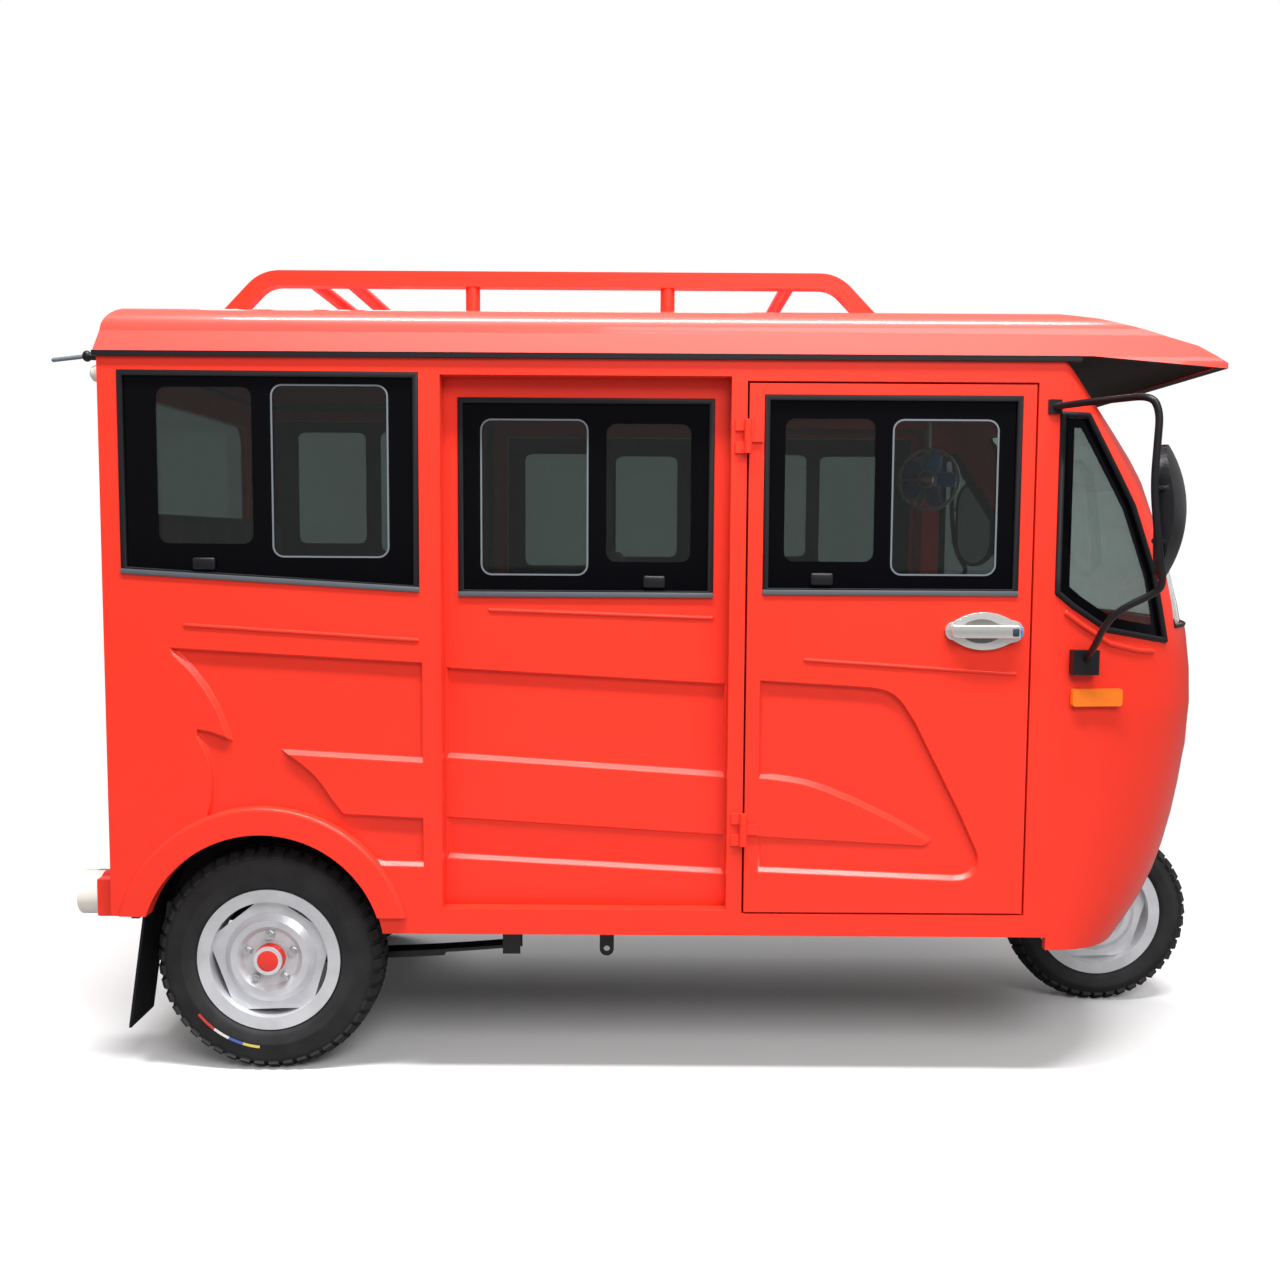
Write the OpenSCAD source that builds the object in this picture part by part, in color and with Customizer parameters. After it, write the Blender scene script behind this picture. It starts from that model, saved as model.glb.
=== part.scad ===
// Enclosed three-wheel passenger rickshaw.
// Millimetres, +X forward, +Y left, +Z up, the tyres stand on z = 0.

/* [Body] */
// Width over the two side skins
body_w = 1200; // [1170:1:1230]
// Distance between the rear and the front axle
wheelbase = 2175; // [2150:1:2200]
// Height of the sill's lower edge
sill_z = 360; // [350:1:370]
// Height of the side frame's upper edge
rail_z = 1692; // [1680:1:1710]
// Rise of the roof above its lower edge
roof_rise = 118; // [105:1:130]

/* [Side bays] */
// Rear axle to the rear face of the body
rear_overhang = 347; // [335:1:355]
// Length of the rear quarter panel
quarter_l = 733; // [720:1:745]
// Width of the pillar behind the sliding door
c_pillar_w = 44; // [40:1:50]
// Length of the sliding door's opening
slide_l = 663; // [645:1:675]
// Width of the pillar between the doors
b_pillar_w = 37; // [32:1:42]
// Length of the front door's opening
door_l = 660; // [640:1:675]
// Width of the pillar ahead of the front door
a_pillar_w = 53; // [46:1:60]
// Reach of the visor ahead of the nose's rear edge
visor_l = 370; // [350:1:390]

/* [Panels] */
// Depth of the side frame's tubes
frame_d = 40; // [36:1:44]
// Thickness of panels and doors
panel_d = 30; // [26:1:34]
// Depth of the pressed fields in the panels
press_d = 12; // [6:1:14]
// Gap round the hinged door
door_gap = 5; // [5:0.5:7]
// Opening angle shown for both front doors
door_open = 0; // [0:1:70]

/* [Wheels] */
// Rear tyre radius
rear_tyre_r = 272; // [266:1:278]
// Rear tyre width
rear_tyre_w = 124; // [116:1:130]
// Distance between the rear tyres' middles
track = 966; // [950:1:976]
// Front tyre radius
front_tyre_r = 250; // [244:1:256]
// Front tyre width
front_tyre_w = 100; // [92:1:106]
// Rake of the steering axis from the vertical
rake = 24; // [22:1:26]

/* [Hidden] */
$fn = 64;

// Stations along the body, from the rear
tail_l = 100;
rear_axle_x = (rear_overhang + tail_l - wheelbase - front_tyre_r) / 2;
front_axle_x = rear_axle_x + wheelbase;
rear_x = rear_axle_x - rear_overhang;
c_pillar_x = rear_x + quarter_l;
slide_x = c_pillar_x + c_pillar_w;
b_pillar_x = slide_x + slide_l;
door_x = b_pillar_x + b_pillar_w;
a_pillar_x = door_x + door_l;
nose_x = a_pillar_x + a_pillar_w;
visor_x = nose_x + visor_l;

// Heights and half widths
skin_y = body_w / 2;
inner_y = skin_y - frame_d;
skirt_z = sill_z + 40;
floor_z = sill_z + 40;
floor_t = 20;
seal_h = 12;
roof_z = rail_z + seal_h;
crown_z = roof_z + roof_rise;
roof_t = 14;
slide_sill_z = sill_z + 60;
slide_head_z = rail_z - 37;
door_sill_z = sill_z + 52;
door_head_z = rail_z - 47;
glass_t = 5;
glass_gap = 0.3;
tiny = 0.1;
ball_over = 0.6;

// Heights on the body are drawn for this sill and rail and follow the real ones
drawn = [360, 1692];
function lift(z) = sill_z + (z - drawn[0]) * (rail_z - sill_z) / (drawn[1] - drawn[0]);
function lifted(pts) = [for (p = pts) [p[0], lift(p[1])]];

// Sliding door, hung inside the side frame
slide_y = inner_y - 10;
slide_d = 25;
slide_lap = 10;
slide_bottom = floor_z + 12;
slide_top = slide_head_z + 6;
rail_h = 6;
run_gap = 0.3;

// Side glazing: corners from the rear lower one, forward round the opening
quarter_window = lifted([
    [rear_x + 44, 1203], [c_pillar_x - 5, 1164], [c_pillar_x - 5, 1660], [rear_x + 44, 1662]
]);
door_window = lifted([
    [door_x + 38, 1163], [a_pillar_x - 35, 1163], [a_pillar_x - 35, 1615], [door_x + 38, 1615]
]);
slide_window = lifted([
    [slide_x + 33, 1153], [b_pillar_x - 35, 1153], [b_pillar_x - 35, 1610], [slide_x + 33, 1610]
]);
nose_window = lifted([
    [nose_x + 6, 1171], [nose_x + 44, 1141], [nose_x + 126, 1089], [nose_x + 283, 1060],
    [nose_x + 248, 1211], [nose_x + 184, 1371], [nose_x + 63, 1568], [nose_x + 6, 1570]
]);

// Wheel arch of the rear quarter panel
arch_x = rear_axle_x + 8;
arch_z = 310;
arch_r = 285;
flare_r = 350;
flare_d = 12;

// Nose sections: height, reach ahead of the nose's rear edge
nose_w = skin_y;
nose_power = 2.5;
nose_t = 22;
nose_table = [
    [330, 282], [376, 325], [423, 362], [481, 394], [540, 418], [615, 440], [690, 456], [790, 472.5],
    [890, 480], [975, 475.5], [1060, 463], [1135, 445], [1211, 420], [1318, 381], [1425, 325], [1482, 282],
    [1540, 232],
    [1590, 178], [1640, 117], [drawn[1], 50]
];
nose_sections = [for (row = nose_table) [lift(row[0]), row[1]]];
shelf_z = lift(1035);
shelf_reach = 463;
shelf_x = nose_x + 130;
shelf_t = 14;

// Steering: the axle lies ahead of the steering axis by fork_offset
fork_offset = 28;
fork_half = 88;
fork_r = 20;
stem_r = 25;
run_clear = 0.05;
head_r = 36;
head_low = 352;
head_high = 530;
bar_z = 800;
steer_o = [
    front_axle_x - fork_offset * cos(rake), 0, front_tyre_r - fork_offset * sin(rake)
];

// Wheels and axles
rear_y = track / 2;
rear_rim_r = 172;
front_rim_r = 172;
rear_bead_r = 152;
front_bead_r = 152;
stub_r = 17.5;
front_axle_r = 10;

// Chassis and springs
rail_gap = 133;
rail_y = rear_y - rail_gap;
rail_w = 50;
rail_high = floor_z - floor_t;
rail_low = rail_high - 60;
spring_z = 262;
spring_front_x = rear_axle_x + 568;
spring_rear_x = rear_axle_x - 290;
leaf_t = 8;
eye_r = 16;
eye_pin_r = 8;
lug_x = rear_axle_x + 808;
lug_hole_r = 8;
lug_t = 8;
lug_z = 245;

engine_x = rear_axle_x + 901;
engine_l = 435;
engine_half = 150;
engine_low = 235;
cross_x = [rear_x + 25, rear_axle_x + 316, rear_axle_x + 856, rear_axle_x + 1336, nose_x - 85];
cross_l = 45;
post_r = 34;
post_foot = [nose_x - 65, 0, 350];

// Door hinges and handles
hinge_r = 9;
hinge_y = skin_y + hinge_r + 1;
hinge_pin_r = 4;
hinge_z = [lift(614), lift(1520)];
hinge_h = 76;
leaf_d = 7;
eye_gap = 0.4;
handle_x = a_pillar_x - 113;
handle_z = lift(1080);

// Roof rack
rack_y = skin_y * 0.7;
rack_r = 18;
rack_bar_r = 17;
rack_rise = 79;
rack_z = crown_z + rack_rise;
rack_rear_x = rear_axle_x - 112;
rack_front_x = rear_axle_x + 1447;
rack_bars = [95, 186, 1242];
rack_posts = [483, 949];
rack_lean = 46;
rack_bend_r = 85;
rack_foot_z = crown_z - 25;

// Mirrors
mirror_c = [nose_x + 179, skin_y + 165, lift(1350)];

// Points on an arc in a plane
function arc(c, r, a0, a1, n = 8) = [
    for (i = [0 : n]) c + r * [cos(a0 + (a1 - a0) * i / n), sin(a0 + (a1 - a0) * i / n)]
];

// Both sides of the car
module both() {
    children();
    mirror([0, 1, 0]) children();
}

// A shape drawn in X and Z becomes a plate on the right side, y_out its outer face
module side_plate(y_out, depth) {
    translate([0, -y_out + depth, 0]) rotate([90, 0, 0]) linear_extrude(depth) children();
}

// A shape drawn in Y and Z becomes a block from x0 forward
module cross_block(x0, len) {
    translate([x0, 0, 0]) rotate([90, 0, 90]) linear_extrude(len) children();
}

// Round bar between two points
module rod(p, q, r) {
    d = q - p;
    len = norm(d);
    translate(p) rotate([0, acos(d[2] / len), atan2(d[1], d[0])]) cylinder(r = r, h = len, $fn = 32);
}

// Round bar through a list of points with ball corners
module bent_rod(pts, r) {
    for (i = [0 : len(pts) - 2]) rod(pts[i], pts[i + 1], r);
    for (i = [1 : len(pts) - 2]) translate(pts[i]) sphere(r = r + ball_over, $fn = 32);
}

// Shape with straight sides and half round ends
module stadium(len, wide) {
    r = wide / 2;
    translate([-(len / 2 - r), 0]) circle(r = r);
    translate([len / 2 - r, 0]) circle(r = r);
    square([len - wide, wide], center = true);
}

// Rectangle with rounded corners
module rounded(size, r) {
    translate([r, 0]) square([size[0] - 2 * r, size[1]]);
    translate([0, r]) square([size[0], size[1] - 2 * r]);
    for (x = [r, size[0] - r], y = [r, size[1] - r]) translate([x, y]) circle(r = r);
}

// Frame with its Z along the steering axis and its origin beside the front axle
module on_steer() {
    translate(steer_o) rotate([0, -rake, 0]) children();
}

// Chassis: two rails, cross members, spring hangers, lashing lugs and the steering head
module chassis_frame() {
    front_x = nose_x - 40;
    color("DimGray") difference() {
        union() {
            both() translate([rear_x + 15, rail_y - rail_w / 2, rail_low])
                cube([front_x - rear_x - 15, rail_w, rail_high - rail_low]);
            for (x = cross_x) translate([x, -rail_y, rail_low + 5])
                cube([cross_l, 2 * rail_y, rail_high - rail_low - 10]);
            both() for (x = [spring_front_x, spring_rear_x]) spring_hanger(x);
            both() lashing_lug();
            rod(post_foot, steer_point(440), post_r);
            on_steer() translate([0, 0, head_low]) cylinder(r = head_r, h = head_high - head_low);
        }
        on_steer() translate([0, 0, head_low - 100]) cylinder(r = stem_r + run_clear, h = 400);
    }
}

function steer_point(s) = steer_o + s * [-sin(rake), 0, cos(rake)];

module spring_hanger(x) {
    cheek = 6;
    for (y = [rail_y - rail_w / 2 - cheek - 1, rail_y + rail_w / 2 + 1]) translate([x - 22, y, spring_z - 22])
        cube([44, cheek, rail_high - 10 - spring_z + 22]);
    translate([x, rail_y + rail_w / 2 + cheek, spring_z]) rotate([90, 0, 0])
        cylinder(r = eye_pin_r, h = rail_w + 2 * cheek);
    translate([x - 22, rail_y - rail_w / 2 - cheek - 1, rail_low]) cube([44, rail_w + 2 * cheek + 2, 20]);
}

module lashing_lug() {
    translate([lug_x, rail_y + lug_t / 2, 0]) rotate([90, 0, 0]) linear_extrude(lug_t) difference() {
        union() {
            translate([0, lug_z]) circle(r = 18);
            translate([-18, lug_z]) square([36, rail_low - lug_z + 5]);
        }
        translate([0, lug_z]) circle(r = lug_hole_r);
    }
}

// Floor with the sliding doors' lower rails and the toe board, cut out over the rear wheels
module floor_pan() {
    front_x = nose_x + 30;
    house_in = rear_y - rear_tyre_w / 2 - 48;
    color("Gray") difference() {
        union() {
            translate([rear_x + panel_d, -inner_y, floor_z - floor_t])
                cube([nose_x - rear_x - panel_d, 2 * inner_y, floor_t]);
            translate([nose_x - 10, -inner_y + 30, floor_z - floor_t])
                cube([front_x - nose_x + 10, 2 * inner_y - 60, floor_t]);
            both() translate([slide_x - slide_lap, -slide_y + slide_d / 2 - 6, floor_z])
                cube([a_pillar_x - slide_x, 12, rail_h]);
            both() translate([front_x - 15, 80, floor_z - floor_t]) rotate([0, 22, 0])
                cube([12, inner_y - 130, 260]);
        }
        both() translate([arch_x - arch_r - 21, house_in, 0])
            cube([2 * arch_r + 42, inner_y, rail_z]);
        rod(post_foot, steer_point(440), post_r + 2);
    }
}

// Engine and gearbox, one plain block on the cross members under the driver's seat
module engine() {
    color("SlateGray") translate([engine_x, -engine_half, engine_low])
        cube([engine_l, 2 * engine_half, rail_low + 5 - engine_low]);
}

// Live rear axle: tube, final drive, brake backing drums, stub shafts and propeller shaft
module rear_axle() {
    tube_r = 32;
    drum_r = 108;
    drum_w = 28;
    drum_in = rear_y - 83;
    ball_r = 100;
    shaft_r = 26;
    color("DarkSlateGray") difference() {
        union() {
            translate([rear_axle_x, 0, rear_tyre_r]) rotate([90, 0, 0]) {
                cylinder(r = tube_r, h = 2 * drum_in, center = true);
                cylinder(r = stub_r, h = 2 * rear_y + 70, center = true);
                for (s = [-1, 1]) translate([0, 0, s * (drum_in + drum_w / 2)])
                    cylinder(r = drum_r, h = drum_w, center = true);
                sphere(r = ball_r);
            }
            rod([rear_axle_x, 0, rear_tyre_r], [engine_x + 20, 0, engine_low + 50], shaft_r);
            both() translate([rear_axle_x - 45, rail_y - rail_w / 2, spring_z - 25.3]) cube([90, rail_w, 36]);
        }
        translate([engine_x - 0.3, -60, 200]) cube([120, 120, 200]);
    }
}

// Height of a leaf's upper face along the spring
function leaf_z(x) = let (half = x > rear_axle_x ? spring_front_x - rear_axle_x : rear_axle_x - spring_rear_x,
    u = (x - rear_axle_x) / half) spring_z - 26 + 26 * u * u;

module leaf(reach_f, reach_r, drop) {
    x0 = rear_axle_x + reach_r * (spring_rear_x - rear_axle_x);
    x1 = rear_axle_x + reach_f * (spring_front_x - rear_axle_x);
    steps = 14;
    top = [for (i = [0 : steps]) let (x = x0 + (x1 - x0) * i / steps) [x, leaf_z(x) - drop]];
    low = [for (i = [steps : -1 : 0]) [top[i][0], top[i][1] - leaf_t]];
    polygon(concat(top, low));
}

// Leaf springs under the axle, three leaves a side
module leaf_springs() {
    color("DarkGray") both() translate([0, rail_y + rail_w / 2, 0]) rotate([90, 0, 0])
        linear_extrude(rail_w) difference() {
            union() {
                leaf(1, 1, 0);
                leaf(0.7, 0.7, leaf_t);
                leaf(0.4, 0.4, 2 * leaf_t);
                for (x = [spring_front_x, spring_rear_x]) translate([x, spring_z]) circle(r = eye_r);
            }
            for (x = [spring_front_x, spring_rear_x]) translate([x, spring_z]) circle(r = eye_pin_r + 0.3);
        }
}

// Side frame: sill, three pillars and the roof rail as one ring, with hinge eyes and upper door guide
module side_frame() {
    color("Red") {
        side_plate(skin_y, frame_d) difference() {
            translate([c_pillar_x, sill_z]) square([nose_x - c_pillar_x, rail_z - sill_z]);
            translate([slide_x, slide_sill_z]) square([slide_l, slide_head_z - slide_sill_z]);
            translate([door_x - 1, door_sill_z]) square([door_l + 1, door_head_z - door_sill_z]);
        }
        for (y = [slide_y + 3, slide_y - slide_d + 1]) translate([slide_x - slide_lap, -y, slide_top + 4])
            cube([a_pillar_x - slide_x, 5, rail_z - slide_top - 4]);
        translate([slide_x - slide_lap, -inner_y - tiny, rail_z - 8])
            cube([a_pillar_x - slide_x, inner_y - slide_y + slide_d + tiny, 8]);
        for (z = hinge_z) frame_eyes(z);
    }
}

// Fixed hinge eyes and pin on the pillar
module frame_eyes(z) {
    third = hinge_h / 3;
    for (s = [-1, 1]) {
        translate([door_x, -hinge_y, z + s * third - third / 2]) cylinder(r = hinge_r, h = third, $fn = 32);
        translate([door_x - 28, -skin_y - leaf_d, z + s * third - third / 2])
            cube([25, leaf_d + tiny, third]);
    }
    translate([door_x, -hinge_y, z - hinge_h / 2]) cylinder(r = hinge_pin_r, h = hinge_h, $fn = 32);
}

module side_frame_right() side_frame();
module side_frame_left() mirror([0, 1, 0]) side_frame();

// Thin raised bead on a side panel, between two points in X and Z
bead_h = 3;
bead_w = 7;

module bead_line(y_out, from, to) {
    a = [from[0], lift(from[1])];
    b = [to[0], lift(to[1])];
    half = [0, bead_w / 2];
    tip = [3, 0];
    side_plate(y_out + bead_h, bead_h + tiny)
        polygon([a - half, b - half, b + tip, b + half, a + half, a - tip]);
}

// Pressed fields of the rear quarter panel
module quarter_press() {
    polygon(lifted([
        [rear_x + 151, 1029], [c_pillar_x, 998], [c_pillar_x, 765], [rear_x + 421, 782],
        [rear_x + 442, 766], [rear_x + 461, 751], [rear_x + 482, 731], [rear_x + 499, 710],
        [rear_x + 523, 673], [rear_x + 547, 643], [c_pillar_x, 634], [c_pillar_x, 519],
        [rear_x + 604, 521], [rear_x + 590, 500], [rear_x + 480, 580], [rear_x + 355, 620],
        [rear_x + 250, 590], [rear_x + 229, 640], [rear_x + 238, 673], [rear_x + 240, 715],
        [rear_x + 237, 758], [rear_x + 225, 793], [rear_x + 207, 824], [rear_x + 209, 840],
        [rear_x + 240, 835], [rear_x + 280, 820], [rear_x + 275, 835], [rear_x + 255, 887],
        [rear_x + 228, 934], [rear_x + 195, 978], [rear_x + 158, 1013]
    ]));
}

// Rear quarter panel with its window, wheel arch and flare
module quarter_panel() {
    color("Red") {
        difference() {
            side_plate(skin_y, panel_d) difference() {
                polygon([
                    [rear_x, skirt_z], [arch_x, skirt_z], [arch_x, sill_z], [c_pillar_x, sill_z],
                    [c_pillar_x, rail_z], [rear_x, rail_z]
                ]);
                translate([arch_x, arch_z]) circle(r = arch_r);
                polygon(quarter_window);
            }
            side_plate(skin_y + 1, press_d + 1) difference() {
                quarter_press();
                translate([arch_x, arch_z]) circle(r = flare_r);
            }
        }
        bead_line(skin_y, [rear_x + 188, 1083], [rear_x + 722, 1051]);
        side_plate(skin_y + flare_d, flare_d + panel_d / 2) intersection() {
            difference() {
                translate([arch_x, arch_z]) circle(r = flare_r);
                translate([arch_x, arch_z]) circle(r = arch_r);
            }
            translate([arch_x - flare_r, skirt_z]) square([c_pillar_x - arch_x + flare_r - 20, flare_r]);
        }
    }
}

module quarter_panel_right() quarter_panel();
module quarter_panel_left() mirror([0, 1, 0]) quarter_panel();

// Rear wall between the quarter panels, with its window
rear_glass_w = body_w - 380;
rear_glass_low = lift(1190);
rear_glass_h = lift(1620) - rear_glass_low;

module rear_window(grow) {
    translate([-rear_glass_w / 2 - grow, rear_glass_low - grow])
        rounded([rear_glass_w + 2 * grow, rear_glass_h + 2 * grow], 50);
}

module rear_panel() {
    half = skin_y - panel_d;
    color("Red") cross_block(rear_x, panel_d) difference() {
        translate([-half, skirt_z]) square([2 * half, rail_z - skirt_z]);
        rear_window(0);
    }
}

// Plan outline of the nose at one reach, shrunk all round by inset
function nose_plan(reach, inset) = let (steps = 24) [
    for (i = [-steps : steps]) let (a = 90 * i / steps, c = cos(a), s = sin(a))
        [nose_x + max(reach - inset, 1) * pow(abs(c), 2 / nose_power),
            (nose_w - inset) * sign(s) * pow(abs(s), 2 / nose_power)]
];

// Solid nose: a smooth body through the table's sections
module nose_solid(inset, over) {
    hull() for (s = nose_sections) {
        low = s[0] == nose_sections[0][0] ? over : 0;
        high = s[0] == rail_z ? over - tiny : 0;
        translate([-over, 0, s[0] - low + high]) linear_extrude(tiny) polygon(nose_plan(s[1] + over, inset));
    }
}

// Windscreen outline seen from the front
module screen_shape(grow) {
    wide = [0.8, 0.783, 0.717] * nose_w;
    high = [lift(1085) - grow, lift(1400), lift(1610) + grow];
    right = [for (i = [0 : 2]) [wide[i] + grow, high[i]]];
    polygon(concat(right, mirrored(right)));
}

// Front wheel's opening in the nose
wheel_gap_r = 275;

module nose_shell() {
    color("Red") difference() {
        union() {
            difference() {
                nose_solid(0, 0);
                nose_solid(nose_t, 2);
            }
            translate([0, 0, shelf_z]) linear_extrude(shelf_t) intersection() {
                polygon(nose_plan(shelf_reach, nose_t / 2));
                translate([shelf_x, -nose_w]) square([500, 2 * nose_w]);
            }
        }
        cross_block(nose_x + 10, 600) screen_shape(0);
        side_plate(nose_w + 50, 2 * nose_w + 100) polygon(nose_window);
        cross_block(nose_x + 60, 600) {
            translate([0, nose_sections[0][0]]) circle(r = wheel_gap_r);
            translate([-wheel_gap_r, 0]) square([2 * wheel_gap_r, nose_sections[0][0]]);
        }
        both() headlamp_cut();
    }
}

// Curved panes between two depths of the nose
module nose_pane() {
    difference() {
        nose_solid(8, 0);
        nose_solid(8 + glass_t, 2);
    }
}

module windscreen() {
    color("SkyBlue") intersection() {
        nose_pane();
        cross_block(nose_x + 10, 600) screen_shape(-glass_gap);
    }
}

module nose_glass() {
    color("DarkSlateGray") intersection() {
        nose_pane();
        side_plate(nose_w + 50, 2 * nose_w + 100) polygon([
            for (p = nose_window) let (c = [nose_x + 130, lift(1300)], d = p - c) c + d * (1 - 0.5 / norm(d))
        ]);
        union() both() translate([nose_x, nose_w / 2, lift(1000)]) cube([400, nose_w, rail_z]);
    }
}

// Lamps sunk in the nose
lamp_y = nose_w * 0.43;
lamp_z = lift(800);
lamp_r = 68;

module headlamp_cut() {
    translate([nose_x + 300, lamp_y, lamp_z]) rotate([0, 90, 0]) cylinder(r = lamp_r + 0.4, h = 300);
}

module headlamps() {
    color("White") intersection() {
        both() translate([nose_x + 390, lamp_y, lamp_z]) rotate([0, 90, 0]) cylinder(r = lamp_r, h = 300);
        nose_solid(-4, 0);
    }
}

module marker_lamps() {
    mid_x = nose_x + 99;
    color("Orange") both() translate([mid_x, -nose_y(mid_x, 479) - 0.2, lift(928)]) rotate([90, 0, 6.4])
        linear_extrude(13) translate([-60, -20]) rounded([120, 40], 6);
}

// Black strip between the side frames and the roof
module roof_seal() {
    lip = 8;
    color("Black") translate([0, 0, rail_z]) linear_extrude(seal_h) difference() {
        translate([rear_x - lip, -skin_y - lip]) square([nose_x - rear_x + lip + 40, body_w + 2 * lip]);
        translate([rear_x + panel_d, -inner_y]) square([nose_x - rear_x - panel_d - header_t, 2 * inner_y]);
    }
}

// Roof section across the car, shrunk by inset
function roof_half(inset) = let (w = skin_y + 6, r = 60, drop = 18) concat(
    [[w - inset, roof_z - inset]],
    arc([w - drop - r, roof_z + 46], r - inset, 0, 72, 6),
    [[skin_y * 0.55, crown_z - 6 - inset], [0, crown_z - inset]]
);

function mirrored(pts) = [for (i = [len(pts) - 1 : -1 : 0]) [-pts[i][0], pts[i][1]]];

// Roof profile along the car, shrunk by inset: rounded tail, flat top, visor running down
function roof_side(inset) = let (tail = rear_x - 6, r = 66) concat(
    [[tail + inset, roof_z - inset]],
    arc([tail + 10 + r, roof_z + 44], r - inset, 176, 102, 6),
    [
        [rear_axle_x, crown_z - inset], [nose_x - 190, crown_z - inset], [nose_x - 25, crown_z - 10 - inset],
        [nose_x + 92, crown_z - 29 - inset], [nose_x + 186, crown_z - 54 - inset],
        [visor_x - 65, crown_z - 92 - inset], [visor_x - inset * 1.5, crown_z - 132 - inset / 2],
        [visor_x - inset * 1.5, roof_z - 26 - inset], [nose_x + 60, roof_z - inset]
    ]
);

module roof_solid(inset) {
    intersection() {
        cross_block(rear_x - 100, visor_x - rear_x + 200)
            polygon(concat(roof_half(inset), mirrored(roof_half(inset)), [
                [-skin_y - 6 + inset, roof_z - 80], [skin_y + 6 - inset, roof_z - 80]
            ]));
        side_plate(skin_y + 100, body_w + 200) polygon(roof_side(inset));
    }
}

// Wall above the windscreen, from the roof down to the seal
header_t = 20;

module roof_shell() {
    difference() {
        roof_solid(0);
        roof_solid(roof_t);
        translate([rear_x + panel_d, -inner_y, roof_z - 40])
            cube([nose_x - rear_x - panel_d - header_t, 2 * inner_y, 60]);
    }
}

// Roof with visor and the header wall above the windscreen
module roof() {
    color("Red") {
        roof_shell();
        intersection() {
            roof_solid(roof_t / 2);
            translate([nose_x - header_t, -skin_y, roof_z]) cube([header_t, body_w, 200]);
        }
    }
}

// One edge of a rack rail's end in X and Z, out from its middle line; dir is 1 at the rear
function rack_end(x, dir, out) = let (
    leg_h = rack_z - rack_foot_z - rack_bend_r * (1 - cos(rack_lean)), steps = 8,
    c = [x + dir * (leg_h / tan(rack_lean) + rack_bend_r * sin(rack_lean)), rack_z - rack_bend_r]
) concat([[x - dir * out * sin(rack_lean), rack_foot_z + out * cos(rack_lean)]], [
    for (i = [0 : steps]) let (t = rack_lean * (1 - i / steps))
        c + (rack_bend_r + out) * [-dir * sin(t), cos(t)]
]);

function backwards(pts) = [for (i = [len(pts) - 1 : -1 : 0]) pts[i]];
function rack_edge(out) = concat(rack_end(rack_rear_x, 1, out), backwards(rack_end(rack_front_x, -1, out)));

// Roof rack: two side rails with bent ends, posts and cross bars
module roof_rack() {
    color("Red") difference() {
        union() {
            both() {
                side_plate(rack_y + rack_r, 2 * rack_r)
                    polygon(concat(rack_edge(rack_r), backwards(rack_edge(-rack_r))));
                for (x = rack_posts) translate([rear_axle_x + x, -rack_y, rack_foot_z])
                    cylinder(r = rack_bar_r, h = rack_z - rack_foot_z, $fn = 32);
            }
            for (x = rack_bars) translate([rear_axle_x + x, 0, rack_z]) rotate([90, 0, 0])
                cylinder(r = rack_bar_r, h = 2 * rack_y, center = true, $fn = 32);
        }
        roof_solid(0);
    }
}

// Window outline shrunk by the glazing gap
module inset_shape(pts) {
    c = (pts[0] + pts[1] + pts[2] + pts[3]) / 4;
    polygon([for (p = pts) [p[0] + sign(c[0] - p[0]) * glass_gap, p[1] + sign(c[1] - p[1]) * glass_gap]]);
}

// Panes of the rear quarter windows and of the rear wall
module cabin_glass() {
    color("DarkSlateGray") {
        both() side_plate(skin_y - 8, glass_t) inset_shape(quarter_window);
        cross_block(rear_x + 10, glass_t) rear_window(-glass_gap);
    }
}

// Front door, hinged at its rear edge
module door_press() {
    polygon(lifted([
        [door_x + 36, 962], [door_x + 258, 949], [door_x + 300, 946], [door_x + 325, 941],
        [door_x + 345, 931], [door_x + 359, 919], [door_x + 370, 906], [door_x + 396, 866],
        [door_x + 505, 653], [door_x + 548, 560], [door_x + 551, 545], [door_x + 551, 528],
        [door_x + 546, 514], [door_x + 534, 503], [door_x + 516, 496], [door_x + 495, 494],
        [door_x + 36, 512], [door_x + 36, 596], [door_x + 421, 576], [door_x + 432, 585],
        [door_x + 402, 603], [door_x + 357, 628], [door_x + 322, 646], [door_x + 288, 662],
        [door_x + 257, 677], [door_x + 225, 690], [door_x + 197, 702], [door_x + 169, 712],
        [door_x + 135, 721], [door_x + 100, 727], [door_x + 68, 731], [door_x + 36, 732]
    ]));
}

module door() {
    third = hinge_h / 3;
    color("Red") difference() {
        union() {
            difference() {
                side_plate(skin_y, panel_d) difference() {
                    translate([door_x + door_gap - 1, door_sill_z + door_gap])
                        square([door_l - 2 * door_gap + 1, door_head_z - door_sill_z - 2 * door_gap]);
                    polygon(door_window);
                }
                side_plate(skin_y + 1, press_d + 1) door_press();
            }
            for (z = hinge_z) {
                low = z - third / 2 + eye_gap;
                high = third - 2 * eye_gap;
                translate([door_x, -hinge_y, low]) cylinder(r = hinge_r, h = high, $fn = 32);
                translate([door_x + 3, -skin_y - leaf_d, low]) cube([32, leaf_d + tiny, high]);
            }
            door_handle();
            bead_line(skin_y, [door_x + 139, 1011], [door_x + 624, 981]);
        }
        for (z = hinge_z) translate([door_x, -hinge_y, z - third])
            cylinder(r = hinge_pin_r + run_clear, h = 2 * third, $fn = 32);
    }
}

// Pull handle: eye shaped plate, two posts and a grip bar
handle_eye_r = 119;
handle_eye_c = 78;

module handle_plate() {
    intersection_for (s = [-1, 1]) translate([0, s * handle_eye_c]) circle(r = handle_eye_r, $fn = 128);
    translate([-68, 0]) circle(r = 19);
    translate([66, 0]) circle(r = 23);
}

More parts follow.
